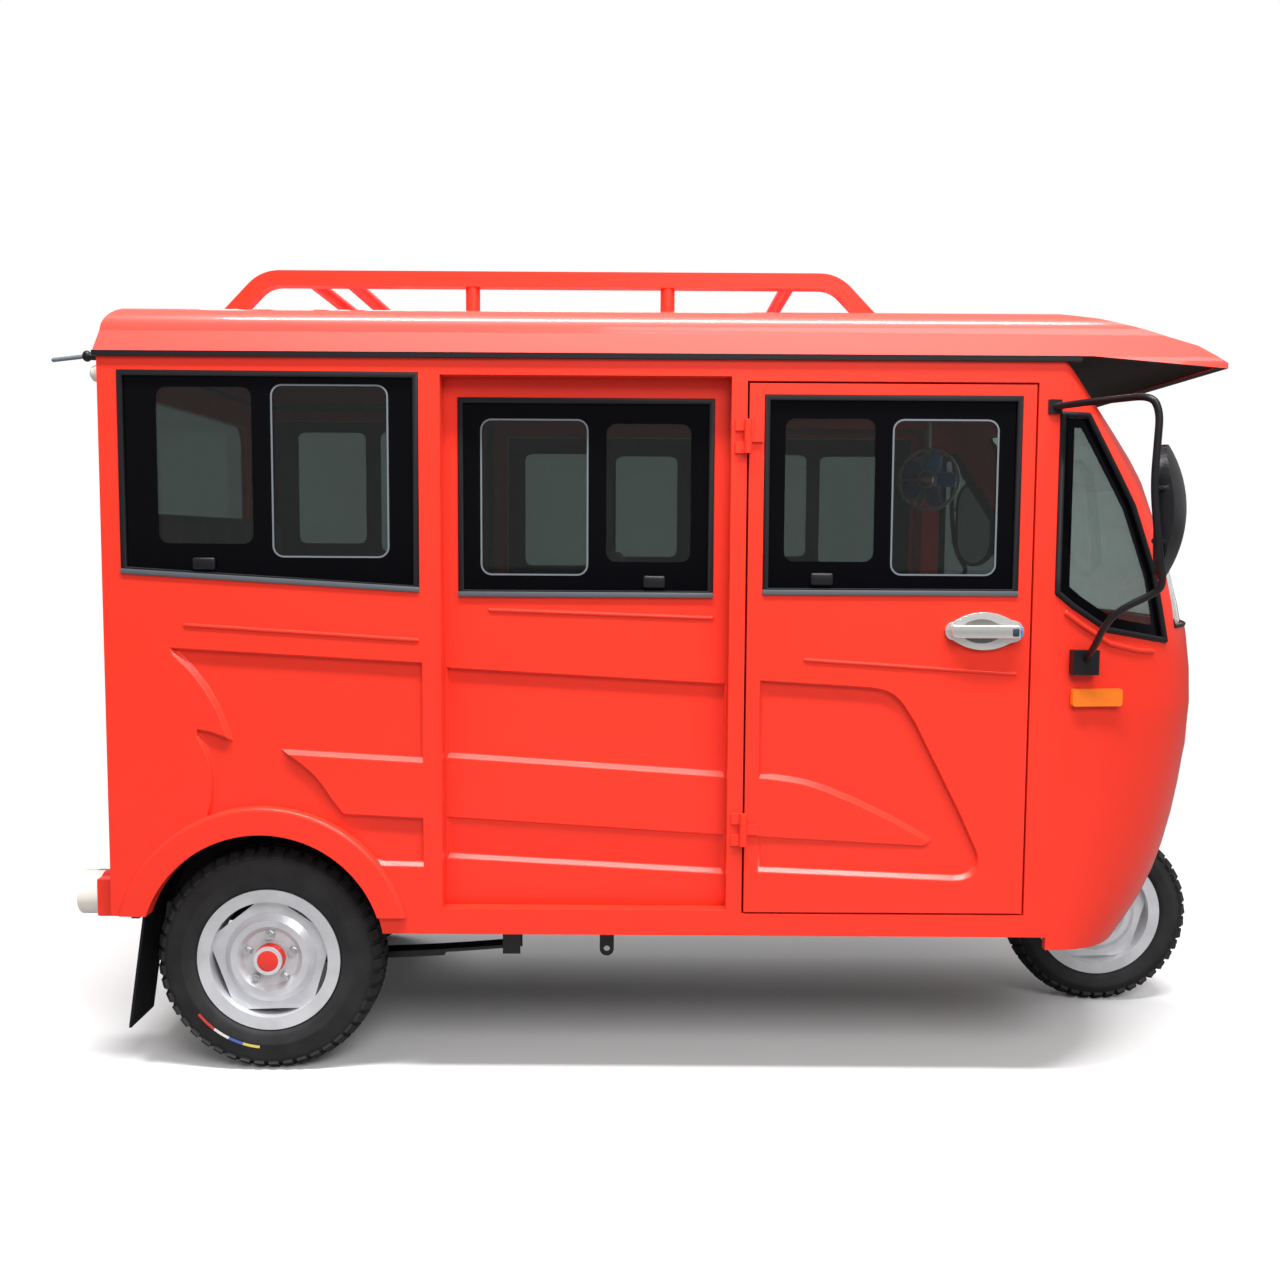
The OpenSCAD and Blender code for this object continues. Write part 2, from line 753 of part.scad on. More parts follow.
module door_handle() {
    side_plate(skin_y + 8, 8) translate([handle_x, handle_z]) handle_plate();
    for (s = [-1, 1]) side_plate(skin_y + 28, 22) translate([handle_x + s * 56, handle_z]) circle(r = 9);
    side_plate(skin_y + 32, 10) translate([handle_x, handle_z]) stadium(150, 24);
}

module door_glass() {
    color("DarkSlateGray") side_plate(skin_y - 8, glass_t) inset_shape(door_window);
}

// Turned about its hinge pin by the shown opening angle
module hung() {
    translate([door_x, -hinge_y, 0]) rotate([0, 0, -door_open]) translate([-door_x, hinge_y, 0]) children();
}

module door_right() hung() door();
module door_left() mirror([0, 1, 0]) hung() door();
module door_glass_right() hung() door_glass();
module door_glass_left() mirror([0, 1, 0]) hung() door_glass();

// Sliding door on its lower rail, guided at the top
module slide_press() {
    x0 = slide_x + 4;
    x1 = b_pillar_x - 4;
    polygon(lifted([[x0, 982], [x1, 948], [x1, 727], [x0, 769]]));
    polygon(lifted([[x0, 627], [x1, 588], [x1, 494], [x0, 528]]));
}

module slide_door() {
    x0 = slide_x - slide_lap;
    wide = slide_l + 2 * slide_lap;
    color("Red") {
        difference() {
            side_plate(slide_y, slide_d) difference() {
                translate([x0, slide_bottom]) square([wide, slide_top - slide_bottom]);
                polygon(slide_window);
            }
            side_plate(slide_y + 1, press_d + 1) slide_press();
        }
        bead_line(slide_y, [slide_x + 107, 1119], [slide_x + 626, 1103]);
        translate([x0 + 20, -slide_y + slide_d / 2 - 4, slide_top - tiny]) cube([wide - 40, 8, 14]);
        for (x = [x0 + 40, x0 + wide - 120])
            translate([x, -slide_y + slide_d / 2 - 6, floor_z + rail_h + run_gap])
                cube([80, 12, slide_bottom - floor_z - rail_h - run_gap + tiny]);
    }
}

module slide_glass() {
    color("DarkSlateGray") side_plate(slide_y - 6, glass_t) inset_shape(slide_window);
}

module slide_door_right() slide_door();
module slide_door_left() mirror([0, 1, 0]) slide_door();
module slide_glass_right() slide_glass();
module slide_glass_left() mirror([0, 1, 0]) slide_glass();

// Half width of the nose's outside at one place
function nose_y(x, reach) = nose_w * pow(1 - pow((x - nose_x) / reach, nose_power), 1 / nose_power);

// Mirrors: foot box on the nose, pad on the pillar, one bent pole and a domed oval head clamped to it
mirror_turn = 30;
mirror_h = 290;
mirror_w = 170;
mirror_d = 52;
dome_r = 283;
pole_r = 7.5;

module mirror_arm() {
    foot_x = nose_x + 35;
    foot_y = nose_y(foot_x, 470);
    low = [foot_x + 30, -foot_y - 12, lift(1010)];
    pole = mirror_c + [-66, 82, 0];
    pole_x = pole[0];
    pole_y = -pole[1];
    translate([foot_x, -foot_y - 26, low[2] - 28]) cube([60, 26, 57]);
    pad_z = lift(1591);
    translate([nose_x - 32, -skin_y - 6, pad_z - 16]) cube([30, 6, 32]);
    bent_rod([
        low, low + [0, -60, 40], low + [0, -120, 95], low + [22, -145, 130], low + [86, -180, 168],
        low + [93, -195, 190], [pole_x + 18, pole_y, lift(1255)], [pole_x, pole_y, lift(1400)],
        [pole_x + 5, pole_y, lift(1500)], [pole_x + 8, pole_y + 2, lift(1555)],
        [pole_x - 7, pole_y + 9, pad_z - 1], [nose_x + 20, -skin_y - 60, pad_z + 2],
        [nose_x - 17, -skin_y - 5, pad_z]
    ], pole_r);
    mirror_place() {
        difference() {
            intersection() {
                translate([-22, 0, 0]) mirror_oval(mirror_d + 3, mirror_h, mirror_w);
                translate([mirror_d - 22 - dome_r, 0, 0]) sphere(r = dome_r, $fn = 96);
            }
            translate([-23, 0, 0]) mirror_oval(7, mirror_h - 20, mirror_w - 20);
        }
    }
    for (z = [mirror_c[2] - 62, mirror_c[2] + 48])
        rod([pole_x + 4, pole_y, z], [mirror_c[0] - 28, -mirror_c[1] - 62, z], 6);
}

// Frame of the mirror's head, its glass towards -X and turned in to the driver
module mirror_place() {
    translate([mirror_c[0] + 6, -mirror_c[1], mirror_c[2]]) rotate([0, 0, -mirror_turn]) children();
}

// Upright oval plate, deep along X
module mirror_oval(deep, high, wide) {
    rotate([90, 0, 90]) linear_extrude(deep) rotate(90) stadium(high, wide);
}

module mirrors() {
    color("Black") both() mirror_arm();
}

module mirror_glass() {
    color("Silver") both() mirror_place() translate([-20, 0, 0])
        mirror_oval(3.9, mirror_h - 21, mirror_w - 21);
}

// Seats: a cushion and a back each, on plain sheet bases
bench_x = rear_x + panel_d + 2;
bench_half = skin_y - panel_d - 50;
driver_x = rear_axle_x + 896;
driver_half = skin_y - 270;
bench_l = 400;
bench_back_h = 700;
base_h = 240;
cushion_h = 95;
driver_l = 420;
driver_back_h = 600;
driver_base_h = 250;

module cushion(x, half, z, len) {
    translate([x, -half, z]) cube([len, 2 * half, cushion_h]);
}

// Leaning back rest
module back_rest(x, half, z, high) {
    translate([x, half, z]) rotate([90, 0, 0]) linear_extrude(2 * half)
        polygon([[0, 0], [105, 0], [55, high], [-15, high]]);
}

module driver_seat() {
    z = floor_z + driver_base_h;
    color("SaddleBrown") {
        cushion(driver_x, driver_half, z, driver_l);
        back_rest(driver_x - 106, driver_half, z, driver_back_h);
    }
}

module rear_bench() {
    z = floor_z + base_h;
    color("SaddleBrown") {
        cushion(bench_x + 120, bench_half, z, bench_l);
        back_rest(bench_x + 14, bench_half, z, bench_back_h);
    }
}

// Box of sheet, open below
module sheet_box(p, size) {
    t = 6;
    translate(p) difference() {
        cube(size);
        translate([t, t, -1]) cube([size[0] - 2 * t, size[1] - 2 * t, size[2] - t + 1]);
    }
}

module seat_bases() {
    house_in = rear_y - rear_tyre_w / 2 - 56;
    color("DimGray") {
        sheet_box([driver_x - 130, -driver_half + 20, floor_z],
            [driver_l + 110, 2 * driver_half - 40, driver_base_h]);
        sheet_box([bench_x + 2, -house_in, floor_z], [bench_l + 100, 2 * house_in, base_h]);
    }
}

// Liners over the rear wheels
module wheelhouses() {
    color("Black") both() intersection() {
        translate([arch_x, 0, arch_z]) rotate([90, 0, 0]) difference() {
            translate([0, 0, rear_y - rear_tyre_w / 2 - 44])
                cylinder(r = arch_r + 18, h = skin_y - panel_d - rear_y + rear_tyre_w / 2 + 44);
            translate([0, 0, rear_y - rear_tyre_w / 2 - 40]) cylinder(r = arch_r + 14, h = 300);
        }
        translate([arch_x - 400, -skin_y, rail_high]) cube([800, skin_y, 400]);
    }
}

module mudflaps() {
    flap_top = rail_high + floor_t + 31;
    flap_low = 105;
    flap_t = 6;
    flap_lean = 40;
    flap_w = 140;
    flap_out = skin_y - panel_d - 30;
    color("Black") both() translate([arch_x - arch_r - 15, flap_w - flap_out, 0]) rotate([90, 0, 0])
        linear_extrude(flap_w) polygon([
            [0, flap_top], [-flap_t, flap_top], [-flap_t, rail_high - 2], [-flap_lean - flap_t, flap_low],
            [-flap_lean, flap_low], [0, rail_high - 4]
        ]);
}

// Rear bumper beam with a lamp at each end
module rear_bumper() {
    color("Red") translate([rear_x - 50, -skin_y + 40, skirt_z - 15]) cube([50, body_w - 80, 90]);
}

module tail_lamps() {
    color("White") both() {
        translate([rear_x - 50, -skin_y + 95, skirt_z + 30]) rotate([0, -90, 0]) cylinder(r = 52, h = 50);
        translate([rear_x, -skin_y + 48, lift(1658)]) rotate([0, -90, 0]) rotate_extrude() polygon([
            [0, 0], [22, 0], [22, 14], [17, 26], [9, 32], [0, 33]
        ]);
    }
}

// Cabin fan hung from the roof ahead of the driver
fan_c = [rear_axle_x + 1709, 120, lift(1462)];
fan_turn = 25;

module cabin_fan() {
    color("Silver") difference() {
        union() {
            translate(fan_c) rotate([90, 0, -fan_turn]) {
                rotate_extrude() translate([85, 0]) circle(r = 5, $fn = 24);
                cylinder(r = 26, h = 60, center = true);
                for (a = [0 : 60 : 150]) rotate(a) translate([0, 0, 3]) cube([172, 4, 4], center = true);
                for (a = [0 : 120 : 240]) rotate(a) translate([45, 0, -6]) rotate([24, 0, 0])
                    cube([56, 44, 3], center = true);
            }
            rod(fan_c + [0, 18, 0], fan_c + [0, 18, crown_z - roof_t - fan_c[2]], 9);
        }
        roof_shell();
    }
}

// Front fork, stem and axle
module fork() {
    color("DarkGray") on_steer() {
        for (s = [-1, 1]) translate([fork_offset, s * fork_half, -34]) cylinder(r = fork_r, h = 372);
        translate([-40, -fork_half - 24, 300]) cube([fork_offset + 64, 2 * fork_half + 48, 38]);
        cylinder_between(stem_r, 310, 570);
        translate([fork_offset, 0, 0]) rotate([90, 0, 0])
            cylinder(r = front_axle_r, h = 2 * fork_half + 30, center = true);
    }
}

module cylinder_between(r, z0, z1) {
    translate([0, 0, z0]) cylinder(r = r, h = z1 - z0);
}

// Handlebar with its post and grips
grip_in = [-30, 250, bar_z + 50];
grip_out = [-80, 370, bar_z + 40];

module handlebar() {
    color("Black") on_steer() {
        cylinder_between(18, 570, bar_z);
        rod([0, -90, bar_z], [0, 90, bar_z], 11);
        both() bent_rod([[0, 88, bar_z], [0, 90, bar_z], [10, 170, bar_z + 45], grip_in, grip_out], 11);
        both() rod(grip_in + (grip_out - grip_in) * 0.2, grip_out + (grip_out - grip_in) * 0.06, 17);
        translate([-20, -80, bar_z - 20]) cube([60, 160, 60]);
    }
}

// Tyre ring: rounded tread and bulged walls, bead on the rim
module tyre_ring(r, w, bead_r, lip_r) {
    h = w / 2;
    seat = h - 16;
    shoulder = 22;
    rotate([90, 0, 0]) rotate_extrude($fn = 96) polygon(concat(
        [[bead_r, -seat], [lip_r + 1, -seat], [lip_r + 8, -h + 5], [lip_r + 24, -h]],
        arc([r - shoulder, -h + shoulder], shoulder, -80, -15, 5),
        [[r, 0]],
        arc([r - shoulder, h - shoulder], shoulder, 15, 80, 5),
        [[lip_r + 24, h], [lip_r + 8, h - 5], [lip_r + 1, seat], [bead_r, seat]]
    ));
}

// Pressed steel wheel, outside towards -Y: barrel with lips, five sided dished disc and hub
module steel_wheel(lip_r, bead_r, w, bore_r, hub_r, hub_in, hub_out) {
    h = w / 2 - 10;
    rotate([90, 0, 0]) difference() {
        union() {
            rotate_extrude($fn = 96) polygon([
                [bead_r - 10, -h], [lip_r, -h], [lip_r, -h + 5.5], [bead_r - 0.3, -h + 5.5],
                [bead_r - 0.3, h - 5.5], [lip_r, h - 5.5], [lip_r, h], [bead_r - 10, h]
            ]);
            translate([0, 0, h - 30]) linear_extrude(8) intersection() {
                circle(r = bead_r - 9);
                rotate(20) circle(r = (bead_r - 9) * 1.1, $fn = 5);
            }
            translate([0, 0, h - 30]) rotate_extrude($fn = 64) polygon([
                [0, 0], [bead_r * 0.72, 0], [bead_r * 0.72, 10], [bead_r * 0.62, 22], [bead_r * 0.52, 22],
                [bead_r * 0.44, 10], [0, 10]
            ]);
            translate([0, 0, -hub_in]) cylinder(r = hub_r, h = hub_in + hub_out);
        }
        translate([0, 0, -300]) cylinder(r = bore_r, h = 600);
    }
}

module rear_wheel_place() {
    translate([rear_axle_x, -rear_y, rear_tyre_r]) children();
}

module rear_tyre() {
    color("DimGray") rear_wheel_place() tyre_ring(rear_tyre_r, rear_tyre_w, rear_bead_r, rear_rim_r);
}

module rear_rim() {
    color("Silver") rear_wheel_place() {
        steel_wheel(rear_rim_r, rear_bead_r, rear_tyre_w, stub_r + run_clear, 42, 40, 36);
        translate([0, -36, 0]) rotate([90, 0, 0]) cylinder(r = 34, h = 24);
    }
}

module rear_tyre_right() rear_tyre();
module rear_tyre_left() mirror([0, 1, 0]) rear_tyre();
module rear_rim_right() rear_rim();
module rear_rim_left() mirror([0, 1, 0]) rear_rim();

module front_tyre() {
    color("DimGray") translate([front_axle_x, 0, front_tyre_r])
        tyre_ring(front_tyre_r, front_tyre_w, front_bead_r, front_rim_r);
}

module front_rim() {
    color("Silver") translate([front_axle_x, 0, front_tyre_r])
        steel_wheel(front_rim_r, front_bead_r, front_tyre_w, front_axle_r + run_clear, 34, 60, 60);
}

chassis_frame();
floor_pan();
engine();
rear_axle();
leaf_springs();
side_frame_right();
side_frame_left();
quarter_panel_right();
quarter_panel_left();
rear_panel();
nose_shell();
roof_seal();
roof();
roof_rack();
cabin_glass();
windscreen();
nose_glass();
mirrors();
mirror_glass();
driver_seat();
rear_bench();
seat_bases();
wheelhouses();
mudflaps();
tail_lamps();
rear_bumper();
headlamps();
marker_lamps();
cabin_fan();
fork();
handlebar();
front_tyre();
front_rim();
rear_tyre_right();
rear_rim_right();
rear_tyre_left();
rear_rim_left();
door_right();
door_glass_right();
door_left();
door_glass_left();
slide_door_right();
slide_glass_right();
slide_door_left();
slide_glass_left();
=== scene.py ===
import logging
import math
from dataclasses import dataclass, field
from enum import Enum
from typing import Iterable, Sequence

import bmesh
import bpy
from mathutils import Matrix, Vector
from mathutils.bvhtree import BVHTree


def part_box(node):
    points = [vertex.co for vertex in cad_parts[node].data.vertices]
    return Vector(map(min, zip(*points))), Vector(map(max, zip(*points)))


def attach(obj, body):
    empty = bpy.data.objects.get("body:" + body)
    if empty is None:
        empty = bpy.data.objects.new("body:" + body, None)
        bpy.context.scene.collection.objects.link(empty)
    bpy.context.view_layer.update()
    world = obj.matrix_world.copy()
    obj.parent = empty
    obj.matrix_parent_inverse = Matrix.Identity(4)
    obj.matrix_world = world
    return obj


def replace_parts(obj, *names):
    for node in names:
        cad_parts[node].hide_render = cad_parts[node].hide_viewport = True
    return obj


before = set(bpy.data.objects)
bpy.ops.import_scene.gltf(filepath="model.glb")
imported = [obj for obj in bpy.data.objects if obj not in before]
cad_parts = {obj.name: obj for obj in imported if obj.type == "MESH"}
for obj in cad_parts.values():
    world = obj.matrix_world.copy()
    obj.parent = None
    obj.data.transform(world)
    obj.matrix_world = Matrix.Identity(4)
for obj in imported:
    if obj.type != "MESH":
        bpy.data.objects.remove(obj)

log = logging.getLogger("rickshaw")

Point2 = tuple[float, float]
Point3 = tuple[float, float, float]


class Side(Enum):
    """Side of the car, with the sign of its Y."""

    RIGHT = -1
    LEFT = 1

    @property
    def word(self) -> str:
        """Lower-case name used in node names."""
        return self.name.lower()


class Slot(str, Enum):
    """Material slots of the record."""

    RED = "body_red"
    RUBBER = "black_rubber"
    GLASS = "dark_glass"
    PLASTIC = "black_plastic"
    SEAT = "seat_brown"
    PALE = "lens_pale"
    AMBER = "lens_amber"
    TYRE = "tyre_black"
    RIM = "rim_silver"
    FAN = "fan_grey"
    FRAME = "frame_black"
    FLOOR = "floor_grey"
    ENGINE = "engine_grey"
    FORK = "fork_steel"
    MIRROR = "mirror_face"


@dataclass(frozen=True)
class Finish:
    """An opaque or clear surface with an optional mottled tone and fine grain."""

    name: str
    slot: Slot
    color: Point3
    roughness: float = 0.5
    metallic: float = 0.0
    coat: float = 0.0
    specular: float = 0.5
    clear: float = 0.0
    ior: float = 1.45
    mottle: float = 0.0
    mottle_scale: float = 5.0
    grain: float = 0.0
    grain_scale: float = 300.0

    def material(self) -> bpy.types.Material:
        """Builds the material once and hands out the same one after that.

        Returns:
            The Blender material of this finish.
        """
        known = bpy.data.materials.get(self.name)
        if known:
            return known
        mat = bpy.data.materials.new(self.name)
        mat.use_nodes = True
        tree = mat.node_tree
        shader = tree.nodes["Principled BSDF"]
        shader.inputs["Base Color"].default_value = (*self.color, 1.0)
        shader.inputs["Roughness"].default_value = self.roughness
        shader.inputs["Metallic"].default_value = self.metallic
        shader.inputs["Coat Weight"].default_value = self.coat
        shader.inputs["Specular IOR Level"].default_value = self.specular
        shader.inputs["Coat Roughness"].default_value = 0.02 if self.clear else 0.08
        shader.inputs["IOR"].default_value = self.ior
        shader.inputs["Transmission Weight"].default_value = self.clear
        if self.mottle or self.grain:
            place = tree.nodes.new("ShaderNodeTexCoord")
        if self.mottle:
            self._mottled(tree, shader, place)
        if self.grain:
            self._grained(tree, shader, place)
        return mat

    def _mottled(self, tree: bpy.types.NodeTree, shader: bpy.types.Node, place: bpy.types.Node) -> None:
        """Varies the tone softly over the piece.

        Args:
            tree: The material's node tree.
            shader: The surface shader.
            place: Texture coordinates.
        """
        noise = tree.nodes.new("ShaderNodeTexNoise")
        noise.inputs["Scale"].default_value = self.mottle_scale
        noise.inputs["Detail"].default_value = 5.0
        ramp = tree.nodes.new("ShaderNodeValToRGB")
        low, high = 1.0 - self.mottle, 1.0 + self.mottle * 0.4
        ramp.color_ramp.elements[0].position = 0.35
        ramp.color_ramp.elements[1].position = 0.65
        ramp.color_ramp.elements[0].color = (*[min(c * low, 1.0) for c in self.color], 1.0)
        ramp.color_ramp.elements[1].color = (*[min(c * high, 1.0) for c in self.color], 1.0)
        tree.links.new(place.outputs["Object"], noise.inputs["Vector"])
        tree.links.new(noise.outputs["Fac"], ramp.inputs["Fac"])
        tree.links.new(ramp.outputs["Color"], shader.inputs["Base Color"])

    def _grained(self, tree: bpy.types.NodeTree, shader: bpy.types.Node, place: bpy.types.Node) -> None:
        """Adds a fine bump.

        Args:
            tree: The material's node tree.
            shader: The surface shader.
            place: Texture coordinates.
        """
        noise = tree.nodes.new("ShaderNodeTexNoise")
        noise.inputs["Scale"].default_value = self.grain_scale
        bump = tree.nodes.new("ShaderNodeBump")
        bump.inputs["Strength"].default_value = self.grain
        bump.inputs["Distance"].default_value = 0.002
        tree.links.new(place.outputs["Object"], noise.inputs["Vector"])
        tree.links.new(noise.outputs["Fac"], bump.inputs["Height"])
        tree.links.new(bump.outputs["Normal"], shader.inputs["Normal"])


RED_PAINT = Finish(
    "red_paint", Slot.RED, (0.9, 0.038, 0.018), 0.36, coat=0.12, specular=0.3, mottle=0.04, mottle_scale=2.2,
)
# Roof red: paler than the body red, which paints the white sky's sheen on the top; the coat adds real gloss.
ROOF_SHEEN_RED = Finish("roof_red_painted_sheen", Slot.RED, (0.92, 0.075, 0.055), 0.34, coat=0.4, specular=0.4)
# Dark red that paints the shade seen in the front door's gaps.
SHADED_RED = Finish("shaded_red", Slot.RED, (0.3, 0.014, 0.008), 0.5, specular=0.2)
# Near black for the roof's down-facing faces: painted shade under the visor.
VISOR_SHADE_BLACK = Finish("painted_visor_shade", Slot.RED, (0.022, 0.01, 0.009), 0.6, specular=0.15)
SEAL_RUBBER = Finish("seal_rubber", Slot.RUBBER, (0.009, 0.009, 0.011), 0.5, specular=0.25, grain=0.1)
SEAL_EDGE = Finish("seal_edge", Slot.RUBBER, (0.09, 0.1, 0.115), 0.4)
FRIT = Finish("frit_black", Slot.GLASS, (0.002, 0.002, 0.003), 0.12, specular=0.1)
PANE = Finish("window_pane", Slot.GLASS, (0.2, 0.235, 0.225), 0.02, coat=0.8, clear=1.0, ior=1.02)
PANE_EDGE = Finish("pane_edge", Slot.GLASS, (0.16, 0.18, 0.2), 0.25)
SCREEN = Finish("screen_pane", Slot.GLASS, (0.86, 0.92, 0.9), 0.02, coat=0.8, clear=1.0, ior=1.02)
BLACK_PLASTIC = Finish(
    "black_plastic_skin", Slot.PLASTIC, (0.008, 0.008, 0.01), 0.36, specular=0.35, grain=0.08,
)
TYRE_RUBBER = Finish(
    "tyre_rubber", Slot.TYRE, (0.03, 0.03, 0.032), 0.66, specular=0.25,
    mottle=0.25, mottle_scale=14.0, grain=0.2,
)
RIM_PAINT = Finish(
    "rim_paint", Slot.RIM, (0.72, 0.73, 0.76), 0.34, metallic=0.35, mottle=0.1, mottle_scale=18.0,
)
NUT_STEEL = Finish("nut_steel", Slot.RIM, (0.66, 0.66, 0.67), 0.28, metallic=1.0)
CAP_RED = Finish("hub_cap_red", Slot.RIM, (0.78, 0.03, 0.018), 0.35, coat=0.4)
SEAT_SKIN = Finish(
    "seat_skin", Slot.SEAT, (0.085, 0.052, 0.04), 0.5, mottle=0.2, mottle_scale=9.0, grain=0.25,
)
LAMP_PALE = Finish("lamp_pale", Slot.PALE, (0.86, 0.82, 0.74), 0.16, coat=0.5)
LAMP_RED = Finish("lamp_red", Slot.PALE, (0.62, 0.02, 0.015), 0.15, coat=0.5)
LAMP_AMBER = Finish("lamp_amber", Slot.AMBER, (0.92, 0.2, 0.012), 0.3, coat=0.15)
HANDLE_WHITE = Finish("handle_silver", Slot.PALE, (0.74, 0.73, 0.71), 0.22, metallic=0.75)
LOCK_BLUE = Finish("lock_blue", Slot.PLASTIC, (0.08, 0.25, 0.6), 0.35)
BOWL_GREY = Finish("handle_bowl", Slot.PALE, (0.2, 0.19, 0.18), 0.35, metallic=0.5)
STRIPE_RED = Finish("stripe_red", Slot.TYRE, (0.6, 0.05, 0.04), 0.7)
STRIPE_WHITE = Finish("stripe_white", Slot.TYRE, (0.75, 0.74, 0.72), 0.7)
STRIPE_BLUE = Finish("stripe_blue", Slot.TYRE, (0.08, 0.14, 0.45), 0.7)
STRIPE_YELLOW = Finish("stripe_yellow", Slot.TYRE, (0.75, 0.6, 0.12), 0.7)
LOCK_DARK = Finish("lock_dark", Slot.PLASTIC, (0.03, 0.04, 0.07), 0.35)
FAN_GREY = Finish("fan_shell", Slot.FAN, (0.72, 0.74, 0.77), 0.25)
FAN_BLUE = Finish("fan_blades", Slot.FAN, (0.14, 0.38, 0.9), 0.3, coat=0.4)
FRAME_PAINT = Finish("frame_paint", Slot.FRAME, (0.022, 0.022, 0.024), 0.5, mottle=0.3, mottle_scale=12.0)
FLOOR_SHEET = Finish("floor_sheet", Slot.FLOOR, (0.1, 0.1, 0.1), 0.7)
ENGINE_CAST = Finish("engine_cast", Slot.ENGINE, (0.3, 0.3, 0.31), 0.55, metallic=0.7)
FORK_STEEL = Finish("fork_steel_skin", Slot.FORK, (0.2, 0.2, 0.21), 0.4, metallic=0.8)
MIRROR_FACE = Finish("mirror_silver", Slot.MIRROR, (0.86, 0.87, 0.89), 0.03, metallic=1.0)

NODE_FINISH: dict[Finish, tuple[str, ...]] = {
    FRAME_PAINT: ("chassis_frame", "rear_axle", "leaf_springs", "seat_bases"),
    FLOOR_SHEET: ("floor_pan",),
    ENGINE_CAST: ("engine",),
    SEAL_RUBBER: ("roof_seal", "mudflaps", "wheelhouses"),
    PANE: ("cabin_glass", "nose_glass"),
    SCREEN: ("windscreen",),
    BLACK_PLASTIC: ("mirrors", "handlebar"),
    MIRROR_FACE: ("mirror_glass",),
    SEAT_SKIN: ("driver_seat", "rear_bench"),
    LAMP_PALE: ("tail_lamps", "headlamps"),
    LAMP_AMBER: ("marker_lamps",),
    FAN_GREY: ("cabin_fan",),
    FORK_STEEL: ("fork",),
    TYRE_RUBBER: ("front_tyre",),
    RIM_PAINT: ("front_rim",),
}
PAIRED_FINISH: dict[str, Finish] = {
    "rear_rim": RIM_PAINT,
    "rear_tyre": TYRE_RUBBER,
    "door_glass": PANE,
    "slide_glass": PANE,
}

SKIN_Y = 0.6
SLIDE_Y = 0.55
FRONT_DOOR_X: Point2 = (0.141, 0.801)


